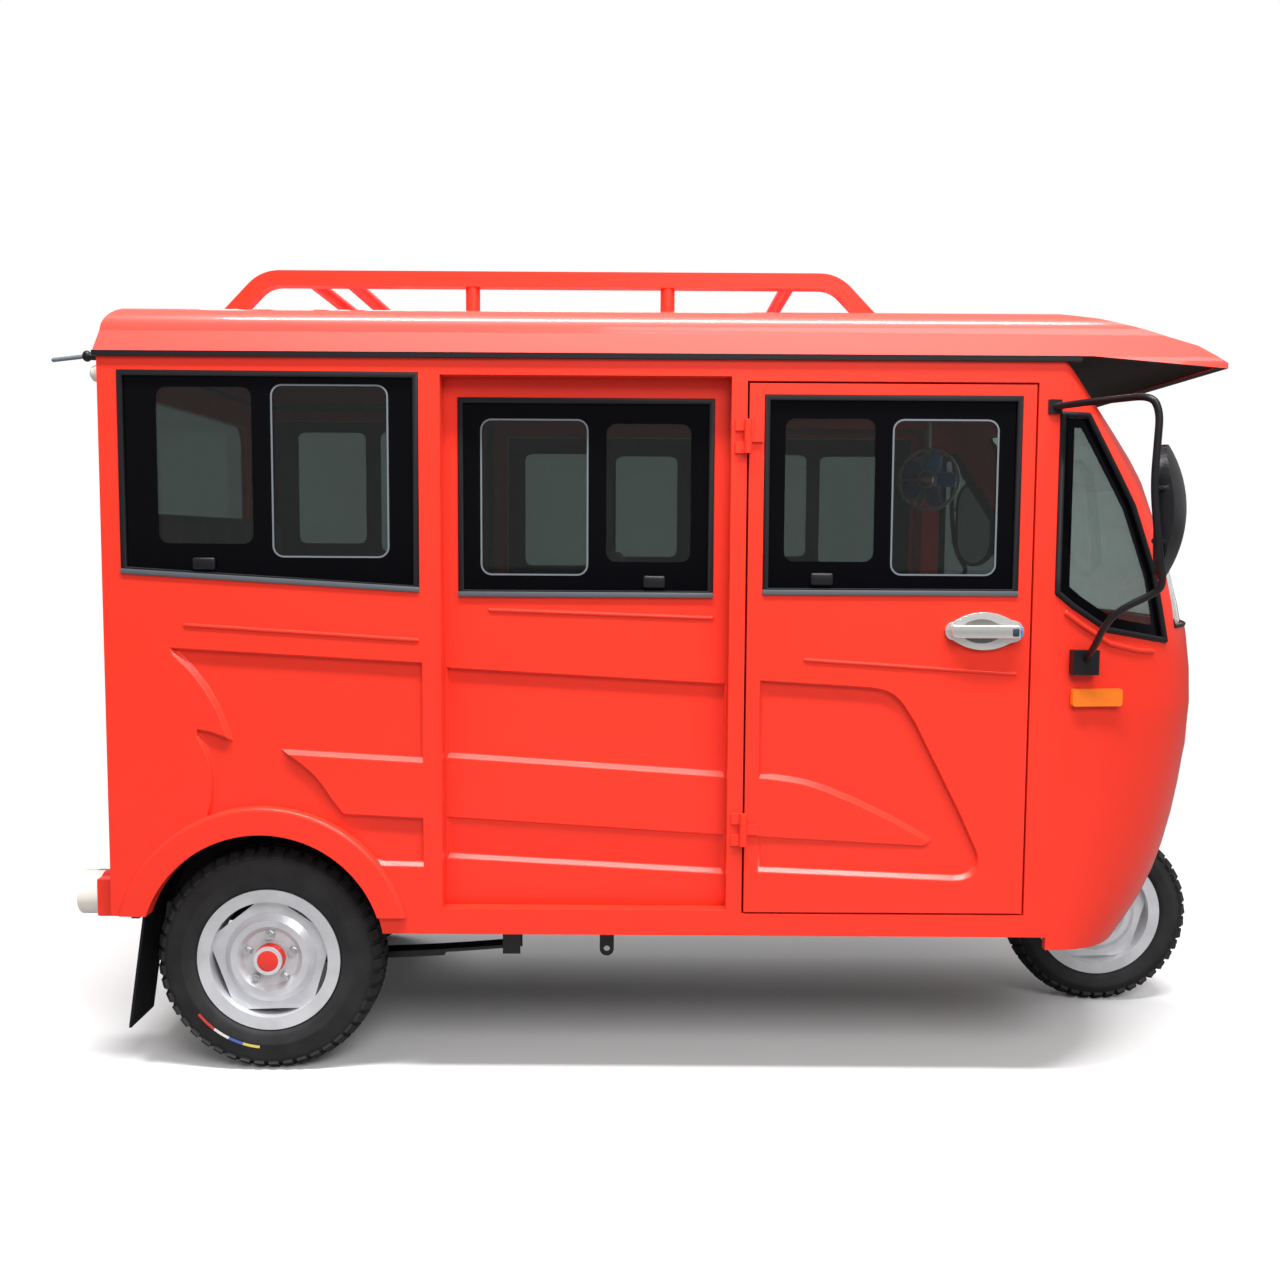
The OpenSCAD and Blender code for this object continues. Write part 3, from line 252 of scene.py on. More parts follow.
class Shape:
    """A mesh in the making, in the row frame, shaped with bmesh operators."""

    def __init__(self) -> None:
        """Starts an empty mesh."""
        self.bm = bmesh.new()

    def box(
        self, low: Sequence[float], high: Sequence[float], round_off: float = 0.0, segments: int = 2,
    ) -> None:
        """Adds a box with rounded edges.

        Args:
            low: Lowest corner.
            high: Highest corner.
            round_off: Width of the rounded edges.
            segments: Steps of the rounding.
        """
        lo, hi = Vector(low), Vector(high)
        place = Matrix.Translation((lo + hi) / 2) @ Matrix.Diagonal((*(hi - lo), 1.0))
        made = bmesh.ops.create_cube(self.bm, size=1.0, matrix=place)["verts"]
        if round_off:
            self.roll(list({e for v in made for e in v.link_edges}), round_off, segments)

    def roll(
        self, edges: list[bmesh.types.BMEdge], width: float, segments: int, clamp: bool = True,
    ) -> None:
        """Rounds the given edges.

        Args:
            edges: The edges.
            width: Width of the rounding.
            segments: Steps of the rounding.
            clamp: Keeps roundings from running into each other.
        """
        bmesh.ops.bevel(
            self.bm, geom=edges, offset=width, offset_type="OFFSET", segments=segments, profile=0.5,
            affect="EDGES", clamp_overlap=clamp, material=-1,
        )

    def rod(
        self, a: Sequence[float], b: Sequence[float], r: float, r_end: float | None = None, sides: int = 24,
    ) -> None:
        """Adds a closed round bar or cone between two points.

        Args:
            a: Start.
            b: End.
            r: Radius at the start.
            r_end: Radius at the end, or the same.
            sides: Number of sides.
        """
        p, q = Vector(a), Vector(b)
        turn = (q - p).to_track_quat("Z", "Y").to_matrix().to_4x4()
        bmesh.ops.create_cone(
            self.bm, cap_ends=True, segments=sides, radius1=r, radius2=r if r_end is None else r_end,
            depth=(q - p).length, matrix=Matrix.Translation((p + q) / 2) @ turn,
        )

    def ball(self, centre: Sequence[float], radii: Sequence[float], rings: int = 16) -> None:
        """Adds an oval ball.

        Args:
            centre: Middle of the ball.
            radii: Half sizes along X, Y and Z.
            rings: Number of rings.
        """
        place = Matrix.Translation(Vector(centre)) @ Matrix.Diagonal((*radii, 1.0))
        bmesh.ops.create_uvsphere(self.bm, u_segments=rings * 2, v_segments=rings, radius=1.0, matrix=place)

    def tube(
        self, points: Sequence[Sequence[float]], r: float, closed: bool = False, sides: int = 12,
    ) -> None:
        """Adds a bead through points, with balls at the bends.

        Args:
            points: Places along the bead.
            r: Radius.
            closed: Joins the last point to the first.
            sides: Number of sides.
        """
        pairs = list(zip(points, list(points[1:]) + ([points[0]] if closed else [])))
        for a, b in pairs:
            self.rod(a, b, r, sides=sides)
        for p in points:
            self.ball(p, (r, r, r), rings=sides // 2)

    def sweep(self, points: Sequence[Vector], r: float, sides: int = 20) -> None:
        """Adds a smooth round bar along a line.

        Args:
            points: Places along the middle of the bar.
            r: Radius.
            sides: Number of sides.
        """
        turns = [math.tau * k / sides for k in range(sides)]
        across = Vector((1.0, 0.0, 0.0))
        rings: list[list[bmesh.types.BMEdge]] = []
        for i, point in enumerate(points):
            along = (points[min(i + 1, len(points) - 1)] - points[max(i - 1, 0)]).normalized()
            across = (across - along * across.dot(along)).normalized()
            other = along.cross(across)
            spokes = [across * math.cos(t) + other * math.sin(t) for t in turns]
            ring = [self.bm.verts.new(point + spoke * r) for spoke in spokes]
            rings.append([self.bm.edges.new((ring[k - 1], ring[k])) for k in range(sides)])
            if i:
                bmesh.ops.bridge_loops(self.bm, edges=rings[-2] + rings[-1])
        for end in (rings[0], rings[-1]):
            bmesh.ops.contextual_create(self.bm, geom=end)

    def plate(self, outer: Sequence[Point2], holes: Sequence[Sequence[Point2]], y0: float, y1: float) -> None:
        """Adds a flat plate drawn in X and Z with holes.

        Args:
            outer: Outline.
            holes: Outlines of the holes.
            y0: Y of one face.
            y1: Y of the other face.
        """
        edges = []
        for loop in (outer, *holes):
            verts = [self.bm.verts.new((x, y0, z)) for x, z in loop]
            edges += [self.bm.edges.new((verts[i - 1], verts[i])) for i in range(len(verts))]
        filled = bmesh.ops.triangle_fill(self.bm, use_beauty=True, edges=edges)
        faces = [g for g in filled["geom"] if isinstance(g, bmesh.types.BMFace)]
        grown = bmesh.ops.extrude_face_region(self.bm, geom=faces, use_keep_orig=True)
        moved = [g for g in grown["geom"] if isinstance(g, bmesh.types.BMVert)]
        bmesh.ops.translate(self.bm, verts=moved, vec=(0.0, y1 - y0, 0.0))

    def lathe(self, profile: Sequence[Point2], centre: Sequence[float], steps: int = 96) -> None:
        """Turns a closed or open profile about an axis along Y.

        Args:
            profile: Radius and distance along Y for each point.
            centre: A point on the axis.
            steps: Steps round the axis.
        """
        mid = Vector(centre)
        verts = [self.bm.verts.new(mid + Vector((r, y, 0.0))) for r, y in profile]
        edges = [self.bm.edges.new(pair) for pair in zip(verts, verts[1:])]
        bmesh.ops.spin(
            self.bm, geom=verts + edges, cent=mid, axis=(0.0, 1.0, 0.0), angle=math.tau, steps=steps,
            use_merge=True, use_duplicate=False,
        )

    def round_sharp(self, width: float, segments: int = 2, angle: float = 30.0) -> None:
        """Rounds every edge that is sharper than an angle.

        Args:
            width: Width of the rounding.
            segments: Steps of the rounding.
            angle: Least angle between the faces, in degrees.
        """
        bmesh.ops.recalc_face_normals(self.bm, faces=self.bm.faces)
        least = math.radians(angle)
        sharp = [e for e in self.bm.edges if e.is_manifold and e.calc_face_angle(0.0) > least]
        self.roll(sharp, width, segments)

    def done(
        self, name: str, body: str, finish: Finish, smooth: float = 40.0, recalc: bool = True,
    ) -> bpy.types.Object:
        """Makes the object, dresses it and lets it ride on a body.

        Args:
            name: Name of the piece.
            body: Body that carries it.
            finish: Its surface.
            smooth: Edges flatter than this many degrees are shaded smooth.
            recalc: Turns all faces outwards.

        Returns:
            The new object.
        """
        bmesh.ops.remove_doubles(self.bm, verts=self.bm.verts, dist=1e-6)
        if recalc:
            bmesh.ops.recalc_face_normals(self.bm, faces=self.bm.faces)
        mesh = bpy.data.meshes.new(name)
        self.bm.to_mesh(mesh)
        self.bm.free()
        mesh.shade_smooth()
        mesh.set_sharp_from_angle(angle=math.radians(smooth))
        piece = bpy.data.objects.new(name, mesh)
        bpy.context.scene.collection.objects.link(piece)
        piece.data.materials.append(finish.material())
        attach(piece, body)
        log.info("%s: %d faces", name, len(mesh.polygons))
        return piece


PRESS_ROLL = 0.0024
FLARE_ROLL = 0.0115
FLAT_ANGLE = 0.4
SHARP_ANGLE = 32.0


@dataclass(frozen=True)
class Pressing:
    """Slopes at the sides of the fields that are pressed into a side panel."""

    skin: float
    depth: float = 0.012
    ledge: float = 0.011
    side: float = 0.005
    under: float = 0.002
    shallow: float = 0.0085
    low_z: float = 0.7
    longest: float = 0.05
    near: float = 3e-4
    flare: float = 0.012
    arch: Point2 = (-0.981, 0.31)
    arch_r: float = 0.347

    def slope(self, bm: bmesh.types.BMesh) -> list[bmesh.types.BMEdge]:
        """Leans the straight sides of the pressed fields.

        Args:
            bm: The panel's mesh, with its flat faces merged.

        Returns:
            Upper and lower edges of the leaned sides.
        """
        floor_y = self.skin - self.depth
        pulls: dict[bmesh.types.BMVert, list[tuple[Vector, float]]] = {}
        edges: set[bmesh.types.BMEdge] = set()
        raised: set[bmesh.types.BMVert] = set()
        for face in bm.faces:
            deep = {v for v in face.verts if abs(abs(v.co.y) - floor_y) < self.near}
            high = {v for v in face.verts if abs(abs(v.co.y) - self.skin) < self.near}
            if len(deep) < 2 or len(deep) + len(high) != len(face.verts) or not high:
                continue
            edges.update(e for e in face.edges if deep.issuperset(e.verts) or high.issuperset(e.verts))
            for v in deep:
                pulls.setdefault(v, []).append((face.normal.copy(), self._reach(face)))
            if face.normal.z < -0.9 and face.calc_center_median().z < self.low_z:
                raised.update(deep)
        for vert in raised:
            vert.co.y += math.copysign(self.shallow, vert.co.y)
        for vert, walls in pulls.items():
            if all(abs(v.co.y) < self.skin + self.near for f in vert.link_faces for v in f.verts):
                vert.co += self._move(walls)
            elif len(walls) > 1:
                vert.co += self._move(walls) * 0.5
        return list(edges)

    def flare_edges(self, bm: bmesh.types.BMesh) -> list[bmesh.types.BMEdge]:
        """Outer edge of the raised ring round a wheel arch.

        Args:
            bm: The panel's mesh.

        Returns:
            The edges, none on a panel without an arch.
        """
        cx, cz = self.arch
        found = []
        for edge in bm.edges:
            if all(abs(abs(v.co.y) - self.skin - self.flare) < self.near for v in edge.verts):
                if all(math.hypot(v.co.x - cx, v.co.z - cz) > self.arch_r for v in edge.verts):
                    found.append(edge)
        return [e for e in found if e.is_manifold and e.calc_face_angle(0.0) > 1.2]

    def _reach(self, face: bmesh.types.BMFace) -> float:
        """Width of the slope for one side of a field."""
        up = face.normal.z
        share = min(abs(up) / 0.8, 1.0)
        share = share * share * (3.0 - 2.0 * share)
        return self.side + ((self.ledge if up > 0.0 else self.under) - self.side) * share

    def _move(self, walls: list[tuple[Vector, float]]) -> Vector:
        """Shift of a corner that leans the sides that meet there.

        Args:
            walls: Normal and slope width of each side.

        Returns:
            The shift in X and Z.
        """
        (n, d), (m, e) = walls[0], walls[-1]
        det = n.x * m.z - n.z * m.x
        if abs(det) < 0.15:
            move = Vector((n.x + m.x, 0.0, n.z + m.z)).normalized() * (d + e) / 2
        else:
            move = Vector(((d * m.z - e * n.z) / det, 0.0, (n.x * e - m.x * d) / det))
        if move.length > self.longest:
            move *= self.longest / move.length
        return move


def softened(
    node: str, body: str, finish: Finish, width: float, segments: int = 3, pressing: Pressing | None = None,
) -> bpy.types.Object:
    """Stands in for a CAD node with a copy whose sharp edges are rolled like pressed sheet.

    Args:
        node: CAD node.
        body: Body that carries it.
        finish: Its surface.
        width: Width of the rolled edges.
        segments: Steps of the rolling.
        pressing: Slopes of its pressed fields.

    Returns:
        The new object.
    """
    shape = Shape()
    shape.bm.from_mesh(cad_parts[node].data)
    bmesh.ops.remove_doubles(shape.bm, verts=shape.bm.verts, dist=2e-5)
    bmesh.ops.dissolve_limit(
        shape.bm, angle_limit=math.radians(FLAT_ANGLE), verts=shape.bm.verts, edges=shape.bm.edges,
        use_dissolve_boundaries=False,
    )
    if pressing:
        leaned = pressing.slope(shape.bm)
        shape.bm.normal_update()
        shape.roll(leaned, PRESS_ROLL, 3, clamp=False)
        shape.roll(pressing.flare_edges(shape.bm), FLARE_ROLL, 4, clamp=False)
    least = math.radians(SHARP_ANGLE)
    sharp = [e for e in shape.bm.edges if e.is_manifold and e.calc_face_angle(0.0) > least]
    shape.roll(sharp, width, segments)
    shape.bm.faces.ensure_lookup_table()
    piece = shape.done(f"{node}_skin", body, finish, smooth=34.0, recalc=False)
    flat = piece.modifiers.new("flat_faces", "WEIGHTED_NORMAL")
    flat.keep_sharp = True
    flat.weight = 100
    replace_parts(piece, node)
    return piece


def rounded_outline(x0: float, x1: float, z0: float, z1: float, r: float, steps: int = 6) -> list[Point2]:
    """Rectangle with rounded corners in X and Z.

    Args:
        x0: Low X.
        x1: High X.
        z0: Low Z.
        z1: High Z.
        r: Corner radius.
        steps: Steps of each corner.

    Returns:
        Points round the outline.
    """
    points = []
    centres = ((x1 - r, z1 - r), (x0 + r, z1 - r), (x0 + r, z0 + r), (x1 - r, z0 + r))
    for start, (cx, cz) in zip((0, 90, 180, 270), centres):
        for i in range(steps + 1):
            a = math.radians(start + 90 * i / steps)
            points.append((cx + r * math.cos(a), cz + r * math.sin(a)))
    return points


def shrunk(corners: Sequence[Point2], by: float) -> list[Point2]:
    """Moves the four corners of a window inwards.

    Args:
        corners: Corners of the window.
        by: Distance inwards.

    Returns:
        The moved corners.
    """
    cx = sum(p[0] for p in corners) / len(corners)
    cz = sum(p[1] for p in corners) / len(corners)
    return [(x + math.copysign(by, cx - x), z + math.copysign(by, cz - z)) for x, z in corners]


@dataclass
class Window:
    """Side window: rubber channel, printed black border with clear fields, and a finger latch.

    Each pair that ends in _y has the depths of a piece's outer and inner face below the skin.
    """

    name: str
    body: str
    side: Side
    skin: float
    corners: list[Point2]
    fields: list[tuple[float, float, float, float]]
    latch: Point2
    channel: float = 0.013
    corner_r: float = 0.022
    lap: float = 0.001
    edge_w: float = 0.004
    edge_roll: float = 0.0015
    sill_z: Point2 = (-0.003, 0.009)
    latch_half: Point2 = (0.026, 0.014)
    latch_roll: float = 0.005
    channel_y: Point2 = (-0.0025, 0.008)
    border_y: Point2 = (0.0065, 0.008)
    sill_y: Point2 = (-0.0045, 0.002)
    edge_y: Point2 = (0.0055, 0.0068)
    latch_y: Point2 = (-0.006, 0.0065)

    def faces(self, depths: Point2) -> list[float]:
        """Y of both faces of a piece, from their depths below the skin."""
        return [self.side.value * (self.skin - depth) for depth in depths]

    def build(self) -> None:
        """Builds all pieces of the window."""
        ring = Shape()
        inner = shrunk(self.corners, self.channel)
        ring.plate(shrunk(self.corners, self.lap), [inner], *self.faces(self.channel_y))
        ring.round_sharp(self.edge_roll)
        ring.done(f"{self.name}_channel", self.body, SEAL_RUBBER)
        self._sill_strip()
        border = Shape()
        holes = [rounded_outline(*f, self.corner_r) for f in self.fields]
        border.plate(shrunk(self.corners, self.channel - self.lap), holes, *self.faces(self.border_y))
        border.done(f"{self.name}_border", self.body, FRIT)
        self._sliding_edge()
        self._finger_latch()

    def _sill_strip(self) -> None:
        """Grey lip along the lower edge of the channel."""
        lowest = sorted(self.corners, key=lambda p: p[1])[:2]
        (xa, za), (xb, zb) = sorted(lowest)
        low, high = self.sill_z
        outline = [(xa, za + low), (xb, zb + low), (xb, zb + high), (xa, za + high)]
        strip = Shape()
        strip.plate(outline, [], *self.faces(self.sill_y))
        strip.round_sharp(self.edge_roll)
        strip.done(f"{self.name}_sill", self.body, SEAL_EDGE)

    def _sliding_edge(self) -> None:
        """Ground edge of the pane that slides."""
        x0, x1, z0, z1 = max(self.fields, key=lambda f: (f[1] - f[0]) * (f[3] - f[2]))
        w = self.edge_w
        outer = rounded_outline(x0 - w, x1 + w, z0 - w, z1 + w, self.corner_r + w)
        edge = Shape()
        edge.plate(outer, [rounded_outline(x0, x1, z0, z1, self.corner_r)], *self.faces(self.edge_y))
        edge.done(f"{self.name}_pane_edge", self.body, PANE_EDGE)

    def _finger_latch(self) -> None:
        """Small pull on the sliding pane."""
        x, z = self.latch
        dx, dz = self.latch_half
        near, far = sorted(self.faces(self.latch_y))
        pull = Shape()
        pull.box((x - dx, near, z - dz), (x + dx, far, z + dz), self.latch_roll, 3)
        pull.done(f"{self.name}_latch", self.body, BLACK_PLASTIC)


@dataclass
class Tyre:
    """Road tyre with shoulder blocks in place of the plain CAD ring."""

    node: str
    body: str
    radius: float
    width: float
    rim: float
    bead: float
    blocks: int = 46
    centre: Vector = field(default_factory=Vector)

    def build(self) -> bpy.types.Object:
        """Builds the tyre.

        Returns:
            The tyre's object.
        """
        lo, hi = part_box(self.node)
        self.centre = (lo + hi) / 2
        h = self.width / 2
        groove = self.radius - 0.007
        half = [
            (self.bead, h - 0.017), (self.rim + 0.001, h - 0.016), (self.rim + 0.006, h - 0.007),
            (self.rim + 0.014, h - 0.002), (self.rim + 0.03, h - 0.0005), (self.rim + 0.032, h),
            (self.rim + 0.036, h), (self.rim + 0.038, h - 0.001), (self.radius - 0.034, h - 0.004),
            (self.radius - 0.018, h - 0.013), (groove, h - 0.03), (groove + 0.001, 0.0),
        ]
        profile = half + [(r, -y) for r, y in reversed(half[:-1])]
        shape = Shape()
        shape.lathe(profile, self.centre, 120)
        self._blocks(shape, groove)
        tyre = shape.done(f"{self.node}_tread", self.body, TYRE_RUBBER, smooth=32.0)
        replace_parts(tyre, self.node)
        return tyre

    def _blocks(self, shape: Shape, groove: float) -> None:
        """Adds tread blocks: a shoulder row and an inner row on each side.

        Args:
            shape: The tyre's mesh.
            groove: Radius at the bottom of the grooves.
        """
        h = self.width / 2
        deep = self.radius - groove
        pitch = math.tau / self.blocks
        arc = pitch * self.radius
        hub = Matrix.Translation(self.centre)
        for i in range(self.blocks):
            for side in (-1, 1):
                turn = hub @ Matrix.Rotation(pitch * (i + 0.25 * side), 4, "Y")
                shoulder = Matrix.Translation((0.0, side * (h - 0.0185), self.radius - 0.0145))
                lean = Matrix.Rotation(side * math.radians(-36.0), 4, "X")
                block = Matrix.Diagonal((arc * 0.62, 0.026, 0.012, 1.0))
                bmesh.ops.create_cube(shape.bm, size=1.0, matrix=turn @ shoulder @ lean @ block)
                inside = Matrix.Translation((0.0, side * h * 0.3, groove + deep / 2 - 0.001))
                skew = Matrix.Rotation(side * 0.35, 4, "Z")
                rib = Matrix.Diagonal((arc * 0.72, h * 0.34, deep, 1.0))
                bmesh.ops.create_cube(shape.bm, size=1.0, matrix=turn @ inside @ skew @ rib)


@dataclass
class RearWheelTrim:
    """Wheel nuts and hub cap of a rear wheel."""

    side: Side
    nut_count: int = 5
    nut_circle: float = 0.057
    nut_r: float = 0.0105
    nut_seat: float = 0.028
    cap: tuple[Point2, ...] = (
        (0.0, 0.0015), (0.02, 0.0013), (0.03, -0.001), (0.0345, -0.006), (0.0355, -0.02), (0.037, -0.024),
    )

    def build(self) -> None:
        """Builds the trim on the wheel's outer face."""
        body = f"rear_wheel_{self.side.word}"
        lo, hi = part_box(f"rear_rim_{self.side.word}")
        mid = (lo + hi) / 2
        s = self.side.value
        out = lo.y if s < 0 else hi.y
        face = s * (abs(out) - self.nut_seat)
        r = self.nut_r
        nuts = Shape()
        for i in range(self.nut_count):
            a = math.radians(18 + 360 / self.nut_count * i)
            x, z = mid.x + self.nut_circle * math.cos(a), mid.z + self.nut_circle * math.sin(a)
            nuts.rod((x, face - s * 0.012, z), (x, face + s * 0.003, z), r * 1.25, r * 1.2, 20)
            nuts.rod((x, face, z), (x, face + s * 0.014, z), r, r * 0.92, 6)
            nuts.rod((x, face, z), (x, face + s * 0.02, z), r * 0.5, sides=12)
        nuts.done(f"wheel_nuts_{self.side.word}", body, NUT_STEEL, smooth=25.0)
        cap = Shape()
        cap.lathe([(radius, s * out_by) for radius, out_by in self.cap], (mid.x, out, mid.z), 48)
        cap.done(f"hub_cap_{self.side.word}", body, CAP_RED)


@dataclass
class Cushion:
    """Soft seat pad with a crowned top and stitched flutes, or a leaned back with a crowned front."""

    name: str
    low: Vector
    high: Vector
    crown: float = 0.02
    flutes: int = 6
    seam: float = 0.008
    lean: Point2 = (0.0, 0.0)
    fill: float = 0.7

    def build(self) -> bpy.types.Object:
        """Builds the pad.

        Returns:
            The pad's object.
        """
        shape = Shape()
        shape.box(self.low, self.high, 0.028, 4)
        edges = [e for e in shape.bm.edges if e.calc_length() > 0.12]
        bmesh.ops.subdivide_edges(shape.bm, edges=edges, cuts=36, use_grid_fill=True)
        mid, half = (self.low + self.high) / 2, (self.high - self.low) / 2
        for v in shape.bm.verts:
            d = v.co - mid
            u, w, t = d.x / half.x, d.y / half.y, d.z / half.z
            seam = self.seam * max(0.0, math.cos(w * self.flutes * math.pi)) ** 8
            if self.lean[1]:
                swell = self.crown * (1 - t ** 4) * (1 - w ** 4)
                lean = self.lean[0] + (self.lean[1] - self.lean[0]) * (u + 1.0) / 2.0
                v.co.x += (swell - seam) * max(u, 0.0) - lean * (d.z + half.z)
            else:
                swell = self.crown * (1 - u ** 4) * (1 - w ** 4)
                v.co.z += (swell - seam) * max(t, 0.0)
        pad = shape.done(self.name, "body", SEAT_SKIN, smooth=60.0)
        return pad


@dataclass
class Seats:
    """Rear bench and driver's seat as soft pads in place of the CAD blocks."""

    pad_h: float = 0.085
    back_x: Point2 = (-0.098, -0.008)
    back_lift: float = 0.004
    back_crown: float = 0.012

    def build(self) -> None:
        """Builds a pad and a back for each seat."""
        # CAD node, length of its pad, lean of the back's rear and front face
        for node, length, lean in (
            ("rear_bench", 0.40, (0.014, 0.07)),
            ("driver_seat", 0.42, (0.024, 0.083)),
        ):
            lo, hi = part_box(node)
            split = hi.x - length
            top = Vector((hi.x, hi.y, lo.z + self.pad_h))
            seat = Cushion(f"{node}_pad", Vector((split, lo.y, lo.z)), top)
            low = Vector((split + self.back_x[0], lo.y, lo.z + self.back_lift))
            high = Vector((split + self.back_x[1], hi.y, hi.z))
            back = Cushion(f"{node}_back", low, high, lean=lean, crown=self.back_crown)
            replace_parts(seat.build(), node)
            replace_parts(back.build(), node)


@dataclass
class DoorHandle:
    """Silver eye shaped pull handle with a dark finger bowl and a lock, over the CAD handle."""

    side: Side
    skin: float = SKIN_Y
    eye_r: float = 0.1202
    eye_c: float = 0.078
    height: float = 1.08
    from_edge: float = 0.113
    door_gap: float = 0.005
    grip_half: float = 0.0145

    def eye(self, grow: float) -> list[Point2]:
        """Outline of the plate: two arcs and a round at each end.

        Args:
            grow: Distance outwards, negative for inwards.

        Returns:
            Points round the plate, about its middle.
        """
        r = self.eye_r + grow
        upper = []
        for i in range(41):
            x = -0.0875 - grow + (0.178 + 2 * grow) * i / 40
            arc = math.sqrt(max(r * r - x * x, 0.0)) - self.eye_c
            left = math.sqrt(max((0.0202 + grow) ** 2 - (x + 0.068) ** 2, 0.0))
            right = math.sqrt(max((0.0242 + grow) ** 2 - (x - 0.066) ** 2, 0.0))
            upper.append((x, max(arc, left, right, 0.0006)))
        return upper + [(x, -z) for x, z in reversed(upper)]

    def build(self) -> None:
        """Builds the plate, bowl, grip, lock and tip."""
        s = self.side.value
        body = f"front_door_{self.side.word}"
        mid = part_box(f"door_{self.side.word}")[1].x + self.door_gap - self.from_edge
        bowl = [(x * 0.62 - 0.006, z * 0.66) for x, z in self.eye(0.0)]
        grip = [(x * 0.9, max(min(z, self.grip_half), -self.grip_half)) for x, z in self.eye(0.0)]
        # name, finish, outline, inner and outer face over the skin, width and steps of the rounding
        for name, finish, outline, (y0, y1), roll, steps in (
            ("plate", HANDLE_WHITE, self.eye(0.001), (-0.001, 0.0105), 0.004, 3),
            ("bowl", BOWL_GREY, bowl, (0.0, 0.0112), 0.0, 0),
            ("grip", HANDLE_WHITE, grip, (0.0105, 0.0335), 0.007, 4),
        ):
            placed = [(mid + x, self.height + z) for x, z in outline]
            piece = Shape()
            piece.plate(placed, [], s * (self.skin + y0), s * (self.skin + y1))
            if roll:
                piece.round_sharp(roll, steps)
            piece.done(f"handle_{name}_{self.side.word}", body, finish)
        # name, finish, X from the middle, outer face over the skin, Z from the middle
        for name, finish, (x0, x1), proud, (z0, z1) in (
            ("lock", LOCK_DARK, (0.058, 0.0745), 0.0345, (-0.011, 0.009)),
            ("tip", LOCK_BLUE, (0.0745, 0.084), 0.0335, (-0.012, 0.012)),
        ):
            near, far = sorted((s * self.skin, s * (self.skin + proud)))
            piece = Shape()
            piece.box((mid + x0, near, self.height + z0), (mid + x1, far, self.height + z1), 0.003)
            piece.done(f"handle_{name}_{self.side.word}", body, finish)


@dataclass
class DoorSeal:
    """Stop strip in the front door's opening, behind the door's edges, in a dark red that paints the shade in
    the door's gaps.
    """

    side: Side
    low: Point2 = (0.14, 0.412)
    high: Point2 = (0.801, 1.645)
    width: float = 0.02
    y_in: float = 0.561
    y_out: float = 0.5655

    def build(self) -> None:
        """Builds the strip as a frame."""
        s = self.side.value
        (x0, z0), (x1, z1) = self.low, self.high
        w = self.width
        outer = [(x0, z0), (x1, z0), (x1, z1), (x0, z1)]
        inner = [(x0 + w, z0 + w), (x1 - w, z0 + w), (x1 - w, z1 - w), (x0 + w, z1 - w)]
        strip = Shape()
        strip.plate(outer, [inner], s * self.y_in, s * self.y_out)
        strip.done(f"door_seal_{self.side.word}", "body", SHADED_RED)


@dataclass
class RaisedLine:
    """Half-round raised line pressed into a side panel."""

    name: str
    body: str
    start: Point3
    stop: Point3
    radius: float = 0.0048

    def build(self) -> None:
        """Builds the line with round ends."""
        line = Shape()
        line.sweep([Vector(self.start), Vector(self.stop)], self.radius, 24)
        for end in (self.start, self.stop):
            line.ball(end, (self.radius,) * 3, 8)
        line.done(self.name, self.body, RED_PAINT, smooth=60.0)


@dataclass
class SlideSeal:
    """Rubber lips along the upright edges of a sliding door, behind the pillars."""

    side: Side
    reach: float = 0.022
    y_in: float = 0.53
    y_out: float = 0.5585

    def build(self) -> None:
        """Builds both lips."""
        lo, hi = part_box(f"slide_door_{self.side.word}")
        near, far = sorted((self.side.value * self.y_in, self.side.value * self.y_out))
        lips = Shape()
        for x0, x1 in ((lo.x - self.reach, lo.x + 0.002), (hi.x - 0.002, hi.x + self.reach)):
            lips.box((x0, near, lo.z + 0.03), (x1, far, hi.z - 0.03), 0.003)
        lips.done(f"slide_lips_{self.side.word}", f"side_door_{self.side.word}", SEAL_RUBBER)


@dataclass
class RearTrim:
    """Thin rod with its black holder at the upper rear corner."""

    start: Point3 = (-1.371, -0.565, 1.696)
    tip: Point3 = (-1.448, -0.565, 1.687)
    radius: float = 0.005

    def build(self) -> None:
        """Builds the rod and its holder."""
        rod = Shape()
        rod.rod(self.start, self.tip, self.radius, sides=16)
        rod.ball(self.tip, (self.radius,) * 3, 8)
        rod.done("rear_rod", "body", PANE_EDGE)
        holder = Shape()
        holder.rod((-1.335, self.start[1], self.start[2] - 0.004), self.start, 0.006, 0.009, 16)
        holder.ball(self.start, (0.011, 0.01, 0.013), 8)
        holder.done("rear_rod_holder", "body", BLACK_PLASTIC)


